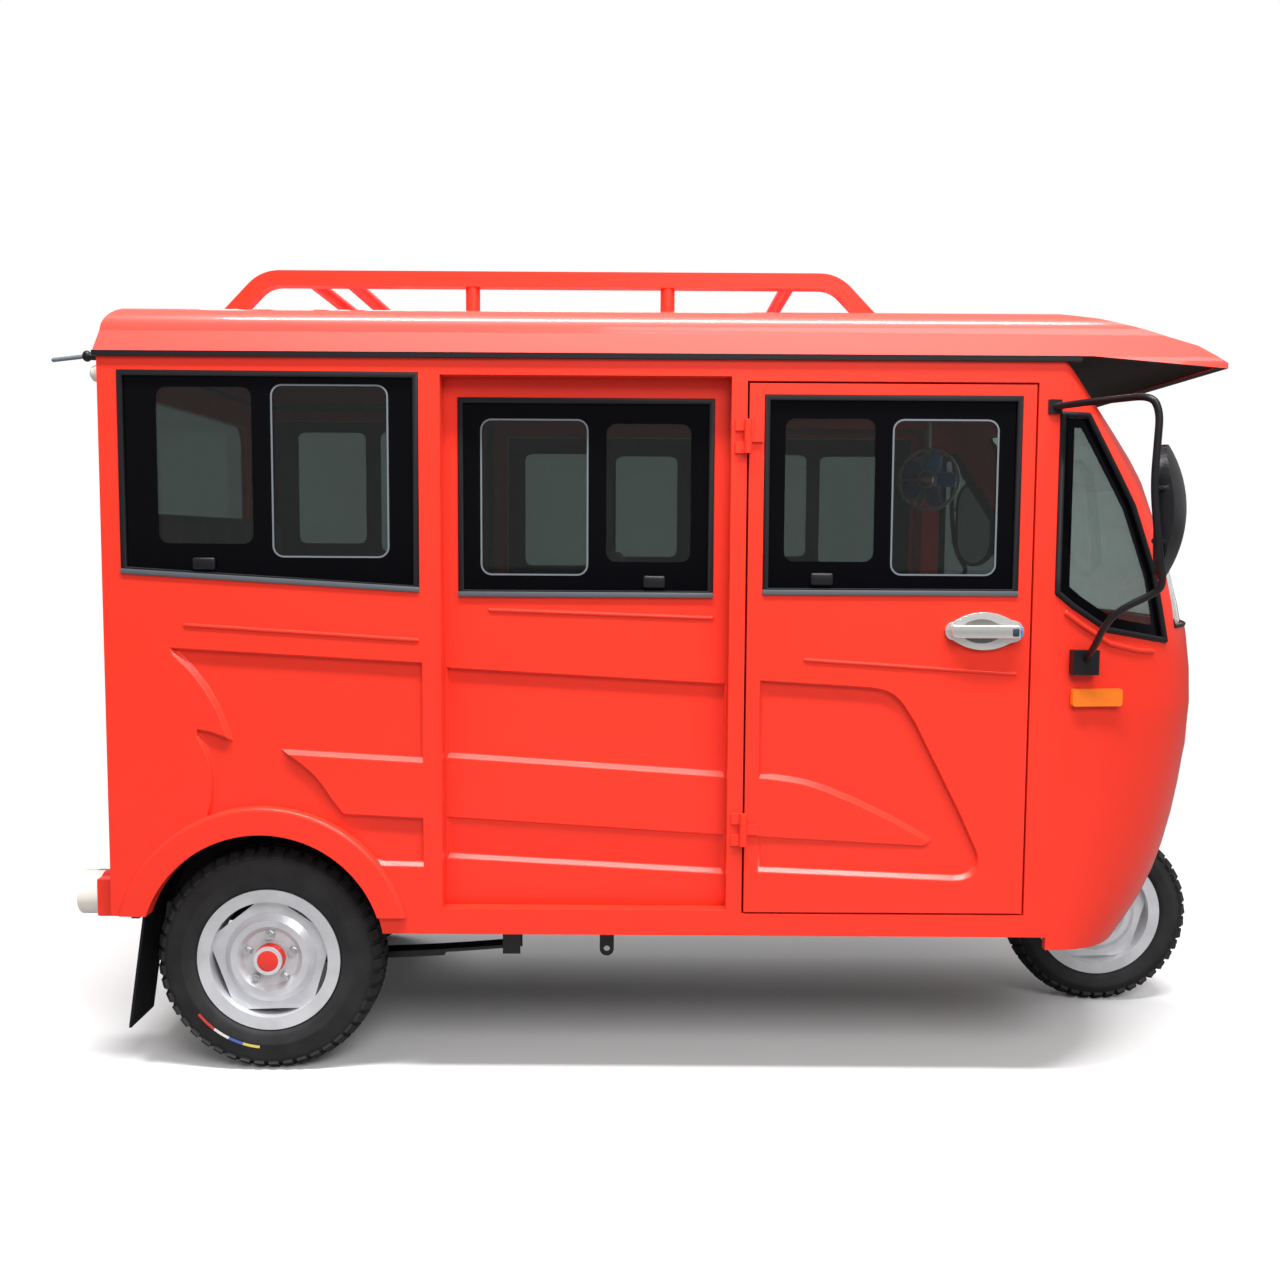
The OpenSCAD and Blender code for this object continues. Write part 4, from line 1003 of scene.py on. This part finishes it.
@dataclass
class Fan:
    """Blue blades and cap of the cabin fan."""

    centre: Vector = field(default_factory=lambda: Vector((0.72, 0.12, 1.462)))
    turn: float = 25.0
    blade: Point3 = (0.034, 0.024, 0.004)
    cap: Point3 = (0.022, 0.022, 0.01)

    def build(self) -> None:
        """Builds the blades and the cap, facing the driver."""
        face = Matrix.Rotation(math.radians(-self.turn), 4, "Z") @ Matrix.Rotation(math.radians(90.0), 4, "X")
        stand = Matrix.Translation(self.centre) @ face
        blades = Shape()
        for i in range(5):
            turn = Matrix.Rotation(math.radians(72 * i), 4, "Z")
            out = Matrix.Translation((0.047, 0.0, 0.008))
            twist = Matrix.Rotation(0.45, 4, "X")
            place = stand @ turn @ out @ twist @ Matrix.Diagonal((*self.blade, 1.0))
            bmesh.ops.create_uvsphere(blades.bm, u_segments=20, v_segments=10, radius=1.0, matrix=place)
        blades.done("fan_blades", "body", FAN_BLUE)
        cap = Shape()
        place = stand @ Matrix.Translation((0.0, 0.0, 0.03)) @ Matrix.Diagonal((*self.cap, 1.0))
        bmesh.ops.create_uvsphere(cap.bm, u_segments=24, v_segments=12, radius=1.0, matrix=place)
        cap.done("fan_cap", "body", HANDLE_WHITE)


@dataclass
class TyreStripe:
    """Coloured arc on the outer wall of a rear tyre."""

    side: Side
    radius: float = 0.209
    width: float = 0.006
    start: float = 218.0

    def build(self) -> None:
        """Builds one short arc for each colour."""
        s = self.side.value
        lo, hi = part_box(f"rear_tyre_{self.side.word}")
        mid = (lo + hi) / 2
        out = lo.y if s < 0 else hi.y
        angle = self.start
        # colour, finish, length in degrees
        for name, finish, sweep in (
            ("red", STRIPE_RED, 14.0),
            ("white", STRIPE_WHITE, 11.0),
            ("blue", STRIPE_BLUE, 10.0),
            ("yellow", STRIPE_YELLOW, 11.0),
        ):
            arc = [math.radians(angle + sweep * i / 6) for i in range(7)]
            inner = [(mid.x + self.radius * math.cos(a), mid.z + self.radius * math.sin(a)) for a in arc]
            far = self.radius + self.width
            outer = [(mid.x + far * math.cos(a), mid.z + far * math.sin(a)) for a in reversed(arc)]
            strip = Shape()
            strip.plate(inner + outer, [], out + s * 0.0004, out - s * 0.002)
            strip.done(f"tyre_stripe_{name}_{self.side.word}", f"rear_wheel_{self.side.word}", finish)
            angle += sweep


def skin_of(node: str) -> BVHTree:
    """Search tree of a CAD node's faces.

    Args:
        node: CAD node.

    Returns:
        The tree.
    """
    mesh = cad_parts[node].data
    return BVHTree.FromPolygons([v.co for v in mesh.vertices], [p.vertices for p in mesh.polygons])


def laid_on(tree: BVHTree, starts: Iterable[Vector], way: Vector) -> list[Vector]:
    """Places where straight lines meet a skin.

    Args:
        tree: The skin.
        starts: Where the lines start.
        way: Their common direction.

    Returns:
        The places, without the lines that miss.
    """
    hits = [tree.ray_cast(start, way)[0] for start in starts]
    return [hit for hit in hits if hit is not None]


@dataclass
class NoseTrim:
    """Rubber beads, printed borders and raised lines at the panes of the nose, laid on its curved skin."""

    window: tuple[Point2, ...]
    screen: tuple[Point2, ...]
    hood: tuple[Point2, ...]
    bead: float = 0.007
    screen_bead: float = 0.6
    hood_r: float = 0.0065
    border: float = 0.029
    border_rings: int = 5
    border_lift: float = 0.0012
    border_t: float = 0.0006
    glass_y: float = 0.56
    ahead: float = 3.0
    beside: float = 2.0

    def build(self) -> None:
        """Builds the trim of both sides and the bead round the windscreen."""
        tree = skin_of("nose_shell")
        for side in Side:
            across = Vector((0.0, -side.value, 0.0))
            far = side.value * self.beside
            window = [Vector((x, far, z)) for x, z in self._stepped(self.window)]
            bead = Shape()
            bead.tube(laid_on(tree, window, across), self.bead, closed=True)
            bead.done(f"nose_bead_{side.word}", "body", SEAL_RUBBER, smooth=60.0)
            line = [Vector((x, far, z)) for x, z in self._hood_line()]
            hood = Shape()
            hood.tube(laid_on(tree, line, across), self.hood_r)
            hood.done(f"nose_hood_{side.word}", "body", RED_PAINT, smooth=60.0)
            self._border(side)
        screen = [Vector((self.ahead, y, z)) for y, z in self._stepped(self.screen)]
        bead = Shape()
        bead.tube(laid_on(tree, screen, Vector((-1.0, 0.0, 0.0))), self.bead * self.screen_bead, closed=True)
        bead.done("screen_bead", "body", SEAL_RUBBER, smooth=60.0)

    def _border(self, side: Side) -> None:
        """Printed black border on the nose window's pane.

        Args:
            side: Side of the car.
        """
        tree = skin_of("nose_glass")
        across = Vector((0.0, -side.value, 0.0))
        strip = Shape()
        last: list[bmesh.types.BMEdge] = []
        for k in range(self.border_rings + 1):
            loop = []
            for x, z in self._inner(self.bead + (self.border - self.bead) * k / self.border_rings):
                hit = tree.ray_cast(Vector((x, side.value * self.beside, z)), across)
                if hit[0] is None:
                    hit = tree.find_nearest(Vector((x, side.value * self.glass_y, z)))
                away = hit[1] if hit[1].y * side.value > 0.0 else -hit[1]
                loop.append(strip.bm.verts.new(hit[0] + away * self.border_lift))
            edges = [strip.bm.edges.new((loop[i - 1], loop[i])) for i in range(len(loop))]
            if last:
                bmesh.ops.bridge_loops(strip.bm, edges=last + edges)
            last = edges
        bmesh.ops.recalc_face_normals(strip.bm, faces=strip.bm.faces)
        bmesh.ops.solidify(strip.bm, geom=strip.bm.faces[:], thickness=self.border_t)
        strip.done(f"nose_border_{side.word}", "body", FRIT, smooth=60.0)

    def _inner(self, inward: float) -> Iterable[Point2]:
        """Points along a line inside the nose window's outline.

        Args:
            inward: Distance from the outline.

        Returns:
            As many points for every distance, in order round the outline.
        """
        corners = [Vector(p) for p in self.window]
        onward = corners[1:] + corners[:1]
        moved = []
        for i, corner in enumerate(corners):
            before = (corner - corners[i - 1]).normalized()
            after = (onward[i] - corner).normalized()
            mid = (before + after).normalized()
            inside = Vector((-mid.y, mid.x))
            square = max(inside.dot(Vector((-before.y, before.x))), 0.5)
            moved.append(corner + inside * inward / square)
        for i, corner in enumerate(moved):
            n = math.ceil((onward[i] - corners[i]).length / 0.02)
            for k in range(n):
                point = corner.lerp(moved[(i + 1) % len(moved)], k / n)
                yield point.x, point.y

    def _hood_line(self) -> Iterable[Point2]:
        """Points along the raised line below the nose window."""
        for (xa, za), (xb, zb) in zip(self.hood, self.hood[1:]):
            for i in range(4):
                yield xa + (xb - xa) * i / 4, za + (zb - za) * i / 4

    @staticmethod
    def _stepped(corners: Sequence[Point2], step: float = 0.045) -> Iterable[Point2]:
        """Points along a closed outline.

        Args:
            corners: Corners of the outline.
            step: Largest distance between points.

        Returns:
            Points in order round the outline.
        """
        for (xa, za), (xb, zb) in zip(corners, corners[1:] + corners[:1]):
            n = max(1, math.ceil(math.hypot(xb - xa, zb - za) / step))
            for i in range(n):
                yield xa + (xb - xa) * i / n, za + (zb - za) * i / n


@dataclass
class MirrorPoles:
    """Mirror poles with smooth bends, in place of the straight lengths of the CAD node."""

    path: tuple[Point3, ...]
    radius: float = 0.0078
    near: float = 0.0087
    bend: float = 0.05

    def build(self) -> None:
        """Builds the poles and keeps the heads, feet and stays of the CAD node."""
        heads = Shape()
        heads.bm.from_mesh(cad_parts["mirrors"].data)
        bmesh.ops.remove_doubles(heads.bm, verts=heads.bm.verts, dist=2e-5)
        for side in Side:
            line = [Vector((x, -side.value * y, z)) for x, y, z in self.path]
            close = {v for v in heads.bm.verts if self._away(v.co, line) < self.near}
            gone = [f for f in heads.bm.faces if close.issuperset(f.verts)]
            bmesh.ops.delete(heads.bm, geom=gone, context="FACES")
            pole = Shape()
            pole.sweep(self._bent(line), self.radius)
            made = pole.done(f"mirror_pole_{side.word}", "body", BLACK_PLASTIC, smooth=60.0)
            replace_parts(made, "mirrors")
        made = heads.done("mirror_heads", "body", BLACK_PLASTIC, smooth=12.0, recalc=False)
        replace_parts(made, "mirrors")

    @staticmethod
    def _away(place: Vector, line: list[Vector]) -> float:
        """Distance of a place from a line of straight lengths."""
        least = math.inf
        for a, b in zip(line, line[1:]):
            share = max(0.0, min(1.0, (place - a).dot(b - a) / (b - a).length_squared))
            least = min(least, (place - a.lerp(b, share)).length)
        return least

    def _bent(self, line: list[Vector]) -> list[Vector]:
        """Rounds the corners of a line.

        Args:
            line: Its corners.

        Returns:
            Points along the rounded line.
        """
        points = [line[0]]
        for a, b, c in zip(line, line[1:], line[2:]):
            start = b + (a - b).normalized() * min(self.bend, (a - b).length * 0.49)
            stop = b + (c - b).normalized() * min(self.bend, (c - b).length * 0.49)
            for k in range(7):
                points.append(start.lerp(b, k / 6).lerp(b.lerp(stop, k / 6), k / 6))
        return points + [line[-1]]


@dataclass
class TailLamps:
    """Pale lenses and red rings of the tail lamps."""

    from_side: float = 0.073
    from_foot: float = 0.052
    lens: Point3 = (0.02, 0.05, 0.05)
    ring_r: float = 0.0525
    ring_back: float = 0.026

    def build(self) -> None:
        """Builds the lens and ring of both sides."""
        lo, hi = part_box("tail_lamps")
        z = lo.z + self.from_foot
        for side in Side:
            y = side.value * (hi.y - self.from_side)
            lens = Shape()
            lens.ball((lo.x + self.lens[0], y, z), self.lens)
            lens.done(f"tail_lens_{side.word}", "body", LAMP_PALE)
            ring = Shape()
            ring.rod((lo.x + self.ring_back, y, z), (hi.x, y, z), self.ring_r)
            ring.round_sharp(0.003)
            ring.done(f"tail_ring_{side.word}", "body", LAMP_RED)


@dataclass
class Stage:
    """Floor, world, lamps and the camera of the photograph."""

    camera_place: Point3 = (-0.101, -3.453, 1.2775)
    pitch: float = 4.47
    roll: float = 0.35
    photo_width: float = 1280.0
    focal_pixels: float = 1243.0
    sensor: float = 36.0

    def build(self) -> None:
        """Builds the whole stage."""
        self._floor()
        self._world()
        self._lamp("key_light", (0.0, -2.05, 6.0), (0.0, -0.6, 0.9), (5.0, 0.6), 560.0)
        self._lamp("fill_light", (1.7, -5.3, 4.7), (0.3, 0.0, 0.9), (4.0, 2.4), 210.0)
        self._lamp("back_light", (-1.2, 5.2, 4.7), (0.0, 0.0, 0.9), (4.0, 2.4), 130.0)
        self._camera()
        bpy.context.scene.view_settings.view_transform = "Standard"

    def _floor(self) -> None:
        """Large pale floor that keeps the shadow."""
        bm = bmesh.new()
        bmesh.ops.create_grid(bm, x_segments=1, y_segments=1, size=60.0)
        mesh = bpy.data.meshes.new("floor")
        bm.to_mesh(mesh)
        bm.free()
        floor = bpy.data.objects.new("floor", mesh)
        bpy.context.scene.collection.objects.link(floor)
        mat = bpy.data.materials.new("floor_pale")
        mat.use_nodes = True
        shader = mat.node_tree.nodes["Principled BSDF"]
        shader.inputs["Base Color"].default_value = (0.93, 0.93, 0.93, 1.0)
        shader.inputs["Roughness"].default_value = 0.9
        shader.inputs["Specular IOR Level"].default_value = 0.0
        self._fade(mat.node_tree, shader)
        floor.data.materials.append(mat)

    @staticmethod
    def _fade(tree: bpy.types.NodeTree, shader: bpy.types.Node) -> None:
        """Lets the floor pass into the white surround away from the object.

        Args:
            tree: The floor material's node tree.
            shader: The floor's surface shader.
        """
        place = tree.nodes.new("ShaderNodeTexCoord")
        reach = tree.nodes.new("ShaderNodeVectorMath")
        reach.operation = "LENGTH"
        step = tree.nodes.new("ShaderNodeMapRange")
        step.interpolation_type = "SMOOTHSTEP"
        step.inputs["From Min"].default_value = 1.4
        step.inputs["From Max"].default_value = 3.6
        glow = tree.nodes.new("ShaderNodeEmission")
        mix = tree.nodes.new("ShaderNodeMixShader")
        tree.links.new(place.outputs["Object"], reach.inputs[0])
        tree.links.new(reach.outputs["Value"], step.inputs["Value"])
        tree.links.new(step.outputs["Result"], mix.inputs[0])
        tree.links.new(shader.outputs[0], mix.inputs[1])
        tree.links.new(glow.outputs[0], mix.inputs[2])
        dull = tree.nodes.new("ShaderNodeBsdfDiffuse")
        dull.inputs["Color"].default_value = (0.3, 0.3, 0.3, 1.0)
        seen = tree.nodes.new("ShaderNodeMixShader")
        tree.links.new(Stage._first_sight(tree), seen.inputs[0])
        tree.links.new(dull.outputs[0], seen.inputs[1])
        tree.links.new(mix.outputs[0], seen.inputs[2])
        tree.links.new(seen.outputs[0], tree.nodes["Material Output"].inputs["Surface"])

    @staticmethod
    def _first_sight(tree: bpy.types.NodeTree) -> bpy.types.NodeSocket:
        """One where the camera looks, also through glass, and nought for light that bounces.

        Args:
            tree: Node tree of the floor or the world.

        Returns:
            The socket with the factor.
        """
        path = tree.nodes.new("ShaderNodeLightPath")
        first = tree.nodes.new("ShaderNodeMath")
        first.operation = "MAXIMUM"
        tree.links.new(path.outputs["Is Camera Ray"], first.inputs[0])
        tree.links.new(path.outputs["Is Transmission Ray"], first.inputs[1])
        return first.outputs[0]

    def _world(self) -> None:
        """White surround that the camera sees, also through glass, and a softer one that lights."""
        world = bpy.data.worlds.new("surround")
        bpy.context.scene.world = world
        world.use_nodes = True
        tree = world.node_tree
        ground = tree.nodes["Background"]
        ground.inputs["Color"].default_value = (1.0, 1.0, 1.0, 1.0)
        ground.inputs["Strength"].default_value = 0.4
        seen = tree.nodes.new("ShaderNodeBackground")
        seen.inputs["Color"].default_value = (1.0, 1.0, 1.0, 1.0)
        seen.inputs["Strength"].default_value = 1.0
        mix = tree.nodes.new("ShaderNodeMixShader")
        tree.links.new(self._first_sight(tree), mix.inputs[0])
        tree.links.new(ground.outputs[0], mix.inputs[1])
        tree.links.new(seen.outputs[0], mix.inputs[2])
        tree.links.new(mix.outputs[0], tree.nodes["World Output"].inputs["Surface"])

    def _lamp(self, name: str, place: Point3, aim: Point3, size: Point2, power: float) -> None:
        """Adds a soft box lamp.

        Args:
            name: Its name.
            place: Where it hangs.
            aim: Where it points.
            size: Lengths of its edges.
            power: Watts.
        """
        data = bpy.data.lights.new(name, "AREA")
        data.shape = "RECTANGLE"
        data.size, data.size_y = size
        data.energy = power
        lamp = bpy.data.objects.new(name, data)
        lamp.location = place
        lamp.rotation_euler = (Vector(aim) - Vector(place)).to_track_quat("-Z", "Y").to_euler()
        bpy.context.scene.collection.objects.link(lamp)

    def _camera(self) -> None:
        """Sets the camera to the photograph's place and lens."""
        data = bpy.data.cameras.new("photo_camera")
        data.sensor_width = self.sensor
        data.lens = self.focal_pixels / self.photo_width * self.sensor
        data.clip_end = 200.0
        cam = bpy.data.objects.new("photo_camera", data)
        tip = Matrix.Rotation(math.radians(90.0 - self.pitch), 4, "X")
        roll = Matrix.Rotation(math.radians(self.roll), 4, "Z")
        cam.matrix_world = Matrix.Translation(self.camera_place) @ tip @ roll
        bpy.context.scene.collection.objects.link(cam)
        bpy.context.scene.camera = cam


@dataclass
class Bodywork:
    """Red panels with rolled edges, and all CAD nodes in their finishes."""

    panel_roll: float = 0.0035
    frame_roll: float = 0.003
    tube_roll: float = 0.013

    def build(self) -> None:
        """Dresses the CAD nodes and softens the red ones."""
        for finish, nodes in NODE_FINISH.items():
            for node in nodes:
                self._dress(node, finish)
        for side in Side:
            word = side.word
            for node, finish in PAIRED_FINISH.items():
                self._dress(f"{node}_{word}", finish)
            # node, body, roll of its edges, pressed fields
            for node, body, roll, pressing in (
                ("quarter_panel", "body", self.panel_roll, Pressing(SKIN_Y, shallow=0.0)),
                ("side_frame", "body", self.frame_roll, None),
                ("door", f"front_door_{word}", self.panel_roll, Pressing(SKIN_Y)),
                ("slide_door", f"side_door_{word}", self.panel_roll, Pressing(SLIDE_Y)),
            ):
                softened(f"{node}_{word}", body, RED_PAINT, roll, pressing=pressing)
        for node in ("rear_panel", "rear_bumper", "nose_shell"):
            softened(node, "body", RED_PAINT, self.frame_roll)
        self._roof()
        softened("roof_rack", "body", RED_PAINT, self.tube_roll, 4)

    def _roof(self) -> None:
        """Roof in its paler red, whose faces that look down under the visor are painted near black as shade.
        """
        roof = softened("roof", "body", ROOF_SHEEN_RED, self.frame_roll)
        roof.data.materials.append(VISOR_SHADE_BLACK.material())
        # faces that look down take the near-black painted shade
        for face in roof.data.polygons:
            if face.normal.z < -0.35:
                face.material_index = 1

    @staticmethod
    def _dress(node: str, finish: Finish) -> None:
        """Gives a CAD node its finish."""
        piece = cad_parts[node]
        piece.data.materials.clear()
        piece.data.materials.append(finish.material())


def side_windows() -> list[Window]:
    """Lists the side windows of both sides.

    Returns:
        The windows, ready to build.
    """
    rear_x, c_x, slide_x, b_x = -1.336, -0.603, -0.559, 0.104
    door_x, a_x = FRONT_DOOR_X
    # the clear fields and latches are measured from the camera's place along the car
    shift = Stage.camera_place[0]
    made = []
    for side in Side:
        made.append(Window(
            f"quarter_window_{side.word}", "body", side, SKIN_Y,
            [(rear_x + 0.044, 1.203), (c_x - 0.005, 1.164), (c_x - 0.005, 1.66), (rear_x + 0.044, 1.662)],
            [(-1.105 + shift, -0.888 + shift, 1.27, 1.625), (-0.84 + shift, -0.58 + shift, 1.243, 1.628)],
            (-1.0 + shift, 1.224),
        ))
        made.append(Window(
            f"slide_window_{side.word}", f"side_door_{side.word}", side, SLIDE_Y + 0.002,
            [(slide_x + 0.033, 1.153), (b_x - 0.035, 1.153), (b_x - 0.035, 1.61), (slide_x + 0.033, 1.61)],
            [(-0.369 + shift, -0.126 + shift, 1.204, 1.558), (-0.08 + shift, 0.116 + shift, 1.233, 1.552)],
            (0.032 + shift, 1.187),
        ))
        made.append(Window(
            f"door_window_{side.word}", f"front_door_{side.word}", side, SKIN_Y,
            [(door_x + 0.038, 1.163), (a_x - 0.035, 1.163), (a_x - 0.035, 1.615), (door_x + 0.038, 1.615)],
            [(0.329 + shift, 0.534 + shift, 1.237, 1.562), (0.577 + shift, 0.812 + shift, 1.21, 1.558)],
            (0.416 + shift, 1.197),
        ))
    return made


NOSE_X = 0.854
NOSE_WINDOW: tuple[Point2, ...] = (
    (NOSE_X + 0.003, 1.169), (NOSE_X + 0.042, 1.137), (NOSE_X + 0.124, 1.084), (NOSE_X + 0.287, 1.055),
    (NOSE_X + 0.252, 1.212), (NOSE_X + 0.188, 1.373), (NOSE_X + 0.065, 1.573), (NOSE_X + 0.003, 1.574),
)
NOSE_HOOD: tuple[Point2, ...] = (
    (NOSE_X + 0.025, 1.122), (NOSE_X + 0.06, 1.096), (NOSE_X + 0.13, 1.052), (NOSE_X + 0.2, 1.036),
    (NOSE_X + 0.262, 1.03),
)
SCREEN_EDGE: tuple[Point2, ...] = (
    (-0.478, 1.085), (0.478, 1.085), (0.468, 1.4), (0.428, 1.61), (-0.428, 1.61), (-0.468, 1.4),
)
# the right mirror's pole from its lower foot to its upper foot
MIRROR_PATH: tuple[Point3, ...] = (
    (0.919, -0.6116, 1.01), (0.919, -0.6716, 1.05), (0.919, -0.7316, 1.105), (0.941, -0.7566, 1.14),
    (1.005, -0.7916, 1.178), (1.012, -0.8066, 1.2), (0.985, -0.847, 1.255), (0.967, -0.847, 1.4),
    (0.972, -0.847, 1.5), (0.975, -0.845, 1.555), (0.96, -0.838, 1.59), (0.874, -0.66, 1.593),
    (0.837, -0.605, 1.591),
)
REAR_TYRE: dict[str, float] = {"radius": 0.272, "width": 0.124, "rim": 0.172, "bead": 0.152}
FRONT_TYRE: dict[str, float] = {"radius": 0.25, "width": 0.1, "rim": 0.172, "bead": 0.152, "blocks": 44}
LINE_SINK = 0.001


def raised_lines(side: Side) -> list[RaisedLine]:
    """Lists the raised lines of one side.

    Args:
        side: Side of the car.

    Returns:
        The lines, ready to build.
    """
    made = []
    # panel, body, skin, start and end in X and Z
    for panel, body, skin, (xa, za), (xb, zb) in (
        ("quarter", "body", SKIN_Y, (-1.148, 1.083), (-0.614, 1.051)),
        ("door", f"front_door_{side.word}", SKIN_Y, (0.28, 1.011), (0.765, 0.981)),
        ("slide", f"side_door_{side.word}", SLIDE_Y, (-0.452, 1.119), (0.067, 1.103)),
    ):
        y = side.value * (skin - LINE_SINK)
        made.append(RaisedLine(f"{panel}_line_{side.word}", body, (xa, y, za), (xb, y, zb)))
    return made


def main() -> None:
    """Builds the looks in order; each new piece logs its face count."""
    logging.basicConfig(level=logging.INFO, format="%(name)s %(message)s")
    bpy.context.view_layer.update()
    Bodywork().build()
    for window in side_windows():
        window.build()
    NoseTrim(NOSE_WINDOW, SCREEN_EDGE, NOSE_HOOD).build()
    MirrorPoles(MIRROR_PATH).build()
    for side in Side:
        Tyre(f"rear_tyre_{side.word}", f"rear_wheel_{side.word}", **REAR_TYRE).build()
        for trim in (TyreStripe, RearWheelTrim, DoorHandle, DoorSeal, SlideSeal):
            trim(side).build()
        for line in raised_lines(side):
            line.build()
    Tyre("front_tyre", "front_wheel", **FRONT_TYRE).build()
    for group in (RearTrim, Fan, Seats, TailLamps, Stage):
        group().build()


if __name__ == "__main__":
    main()
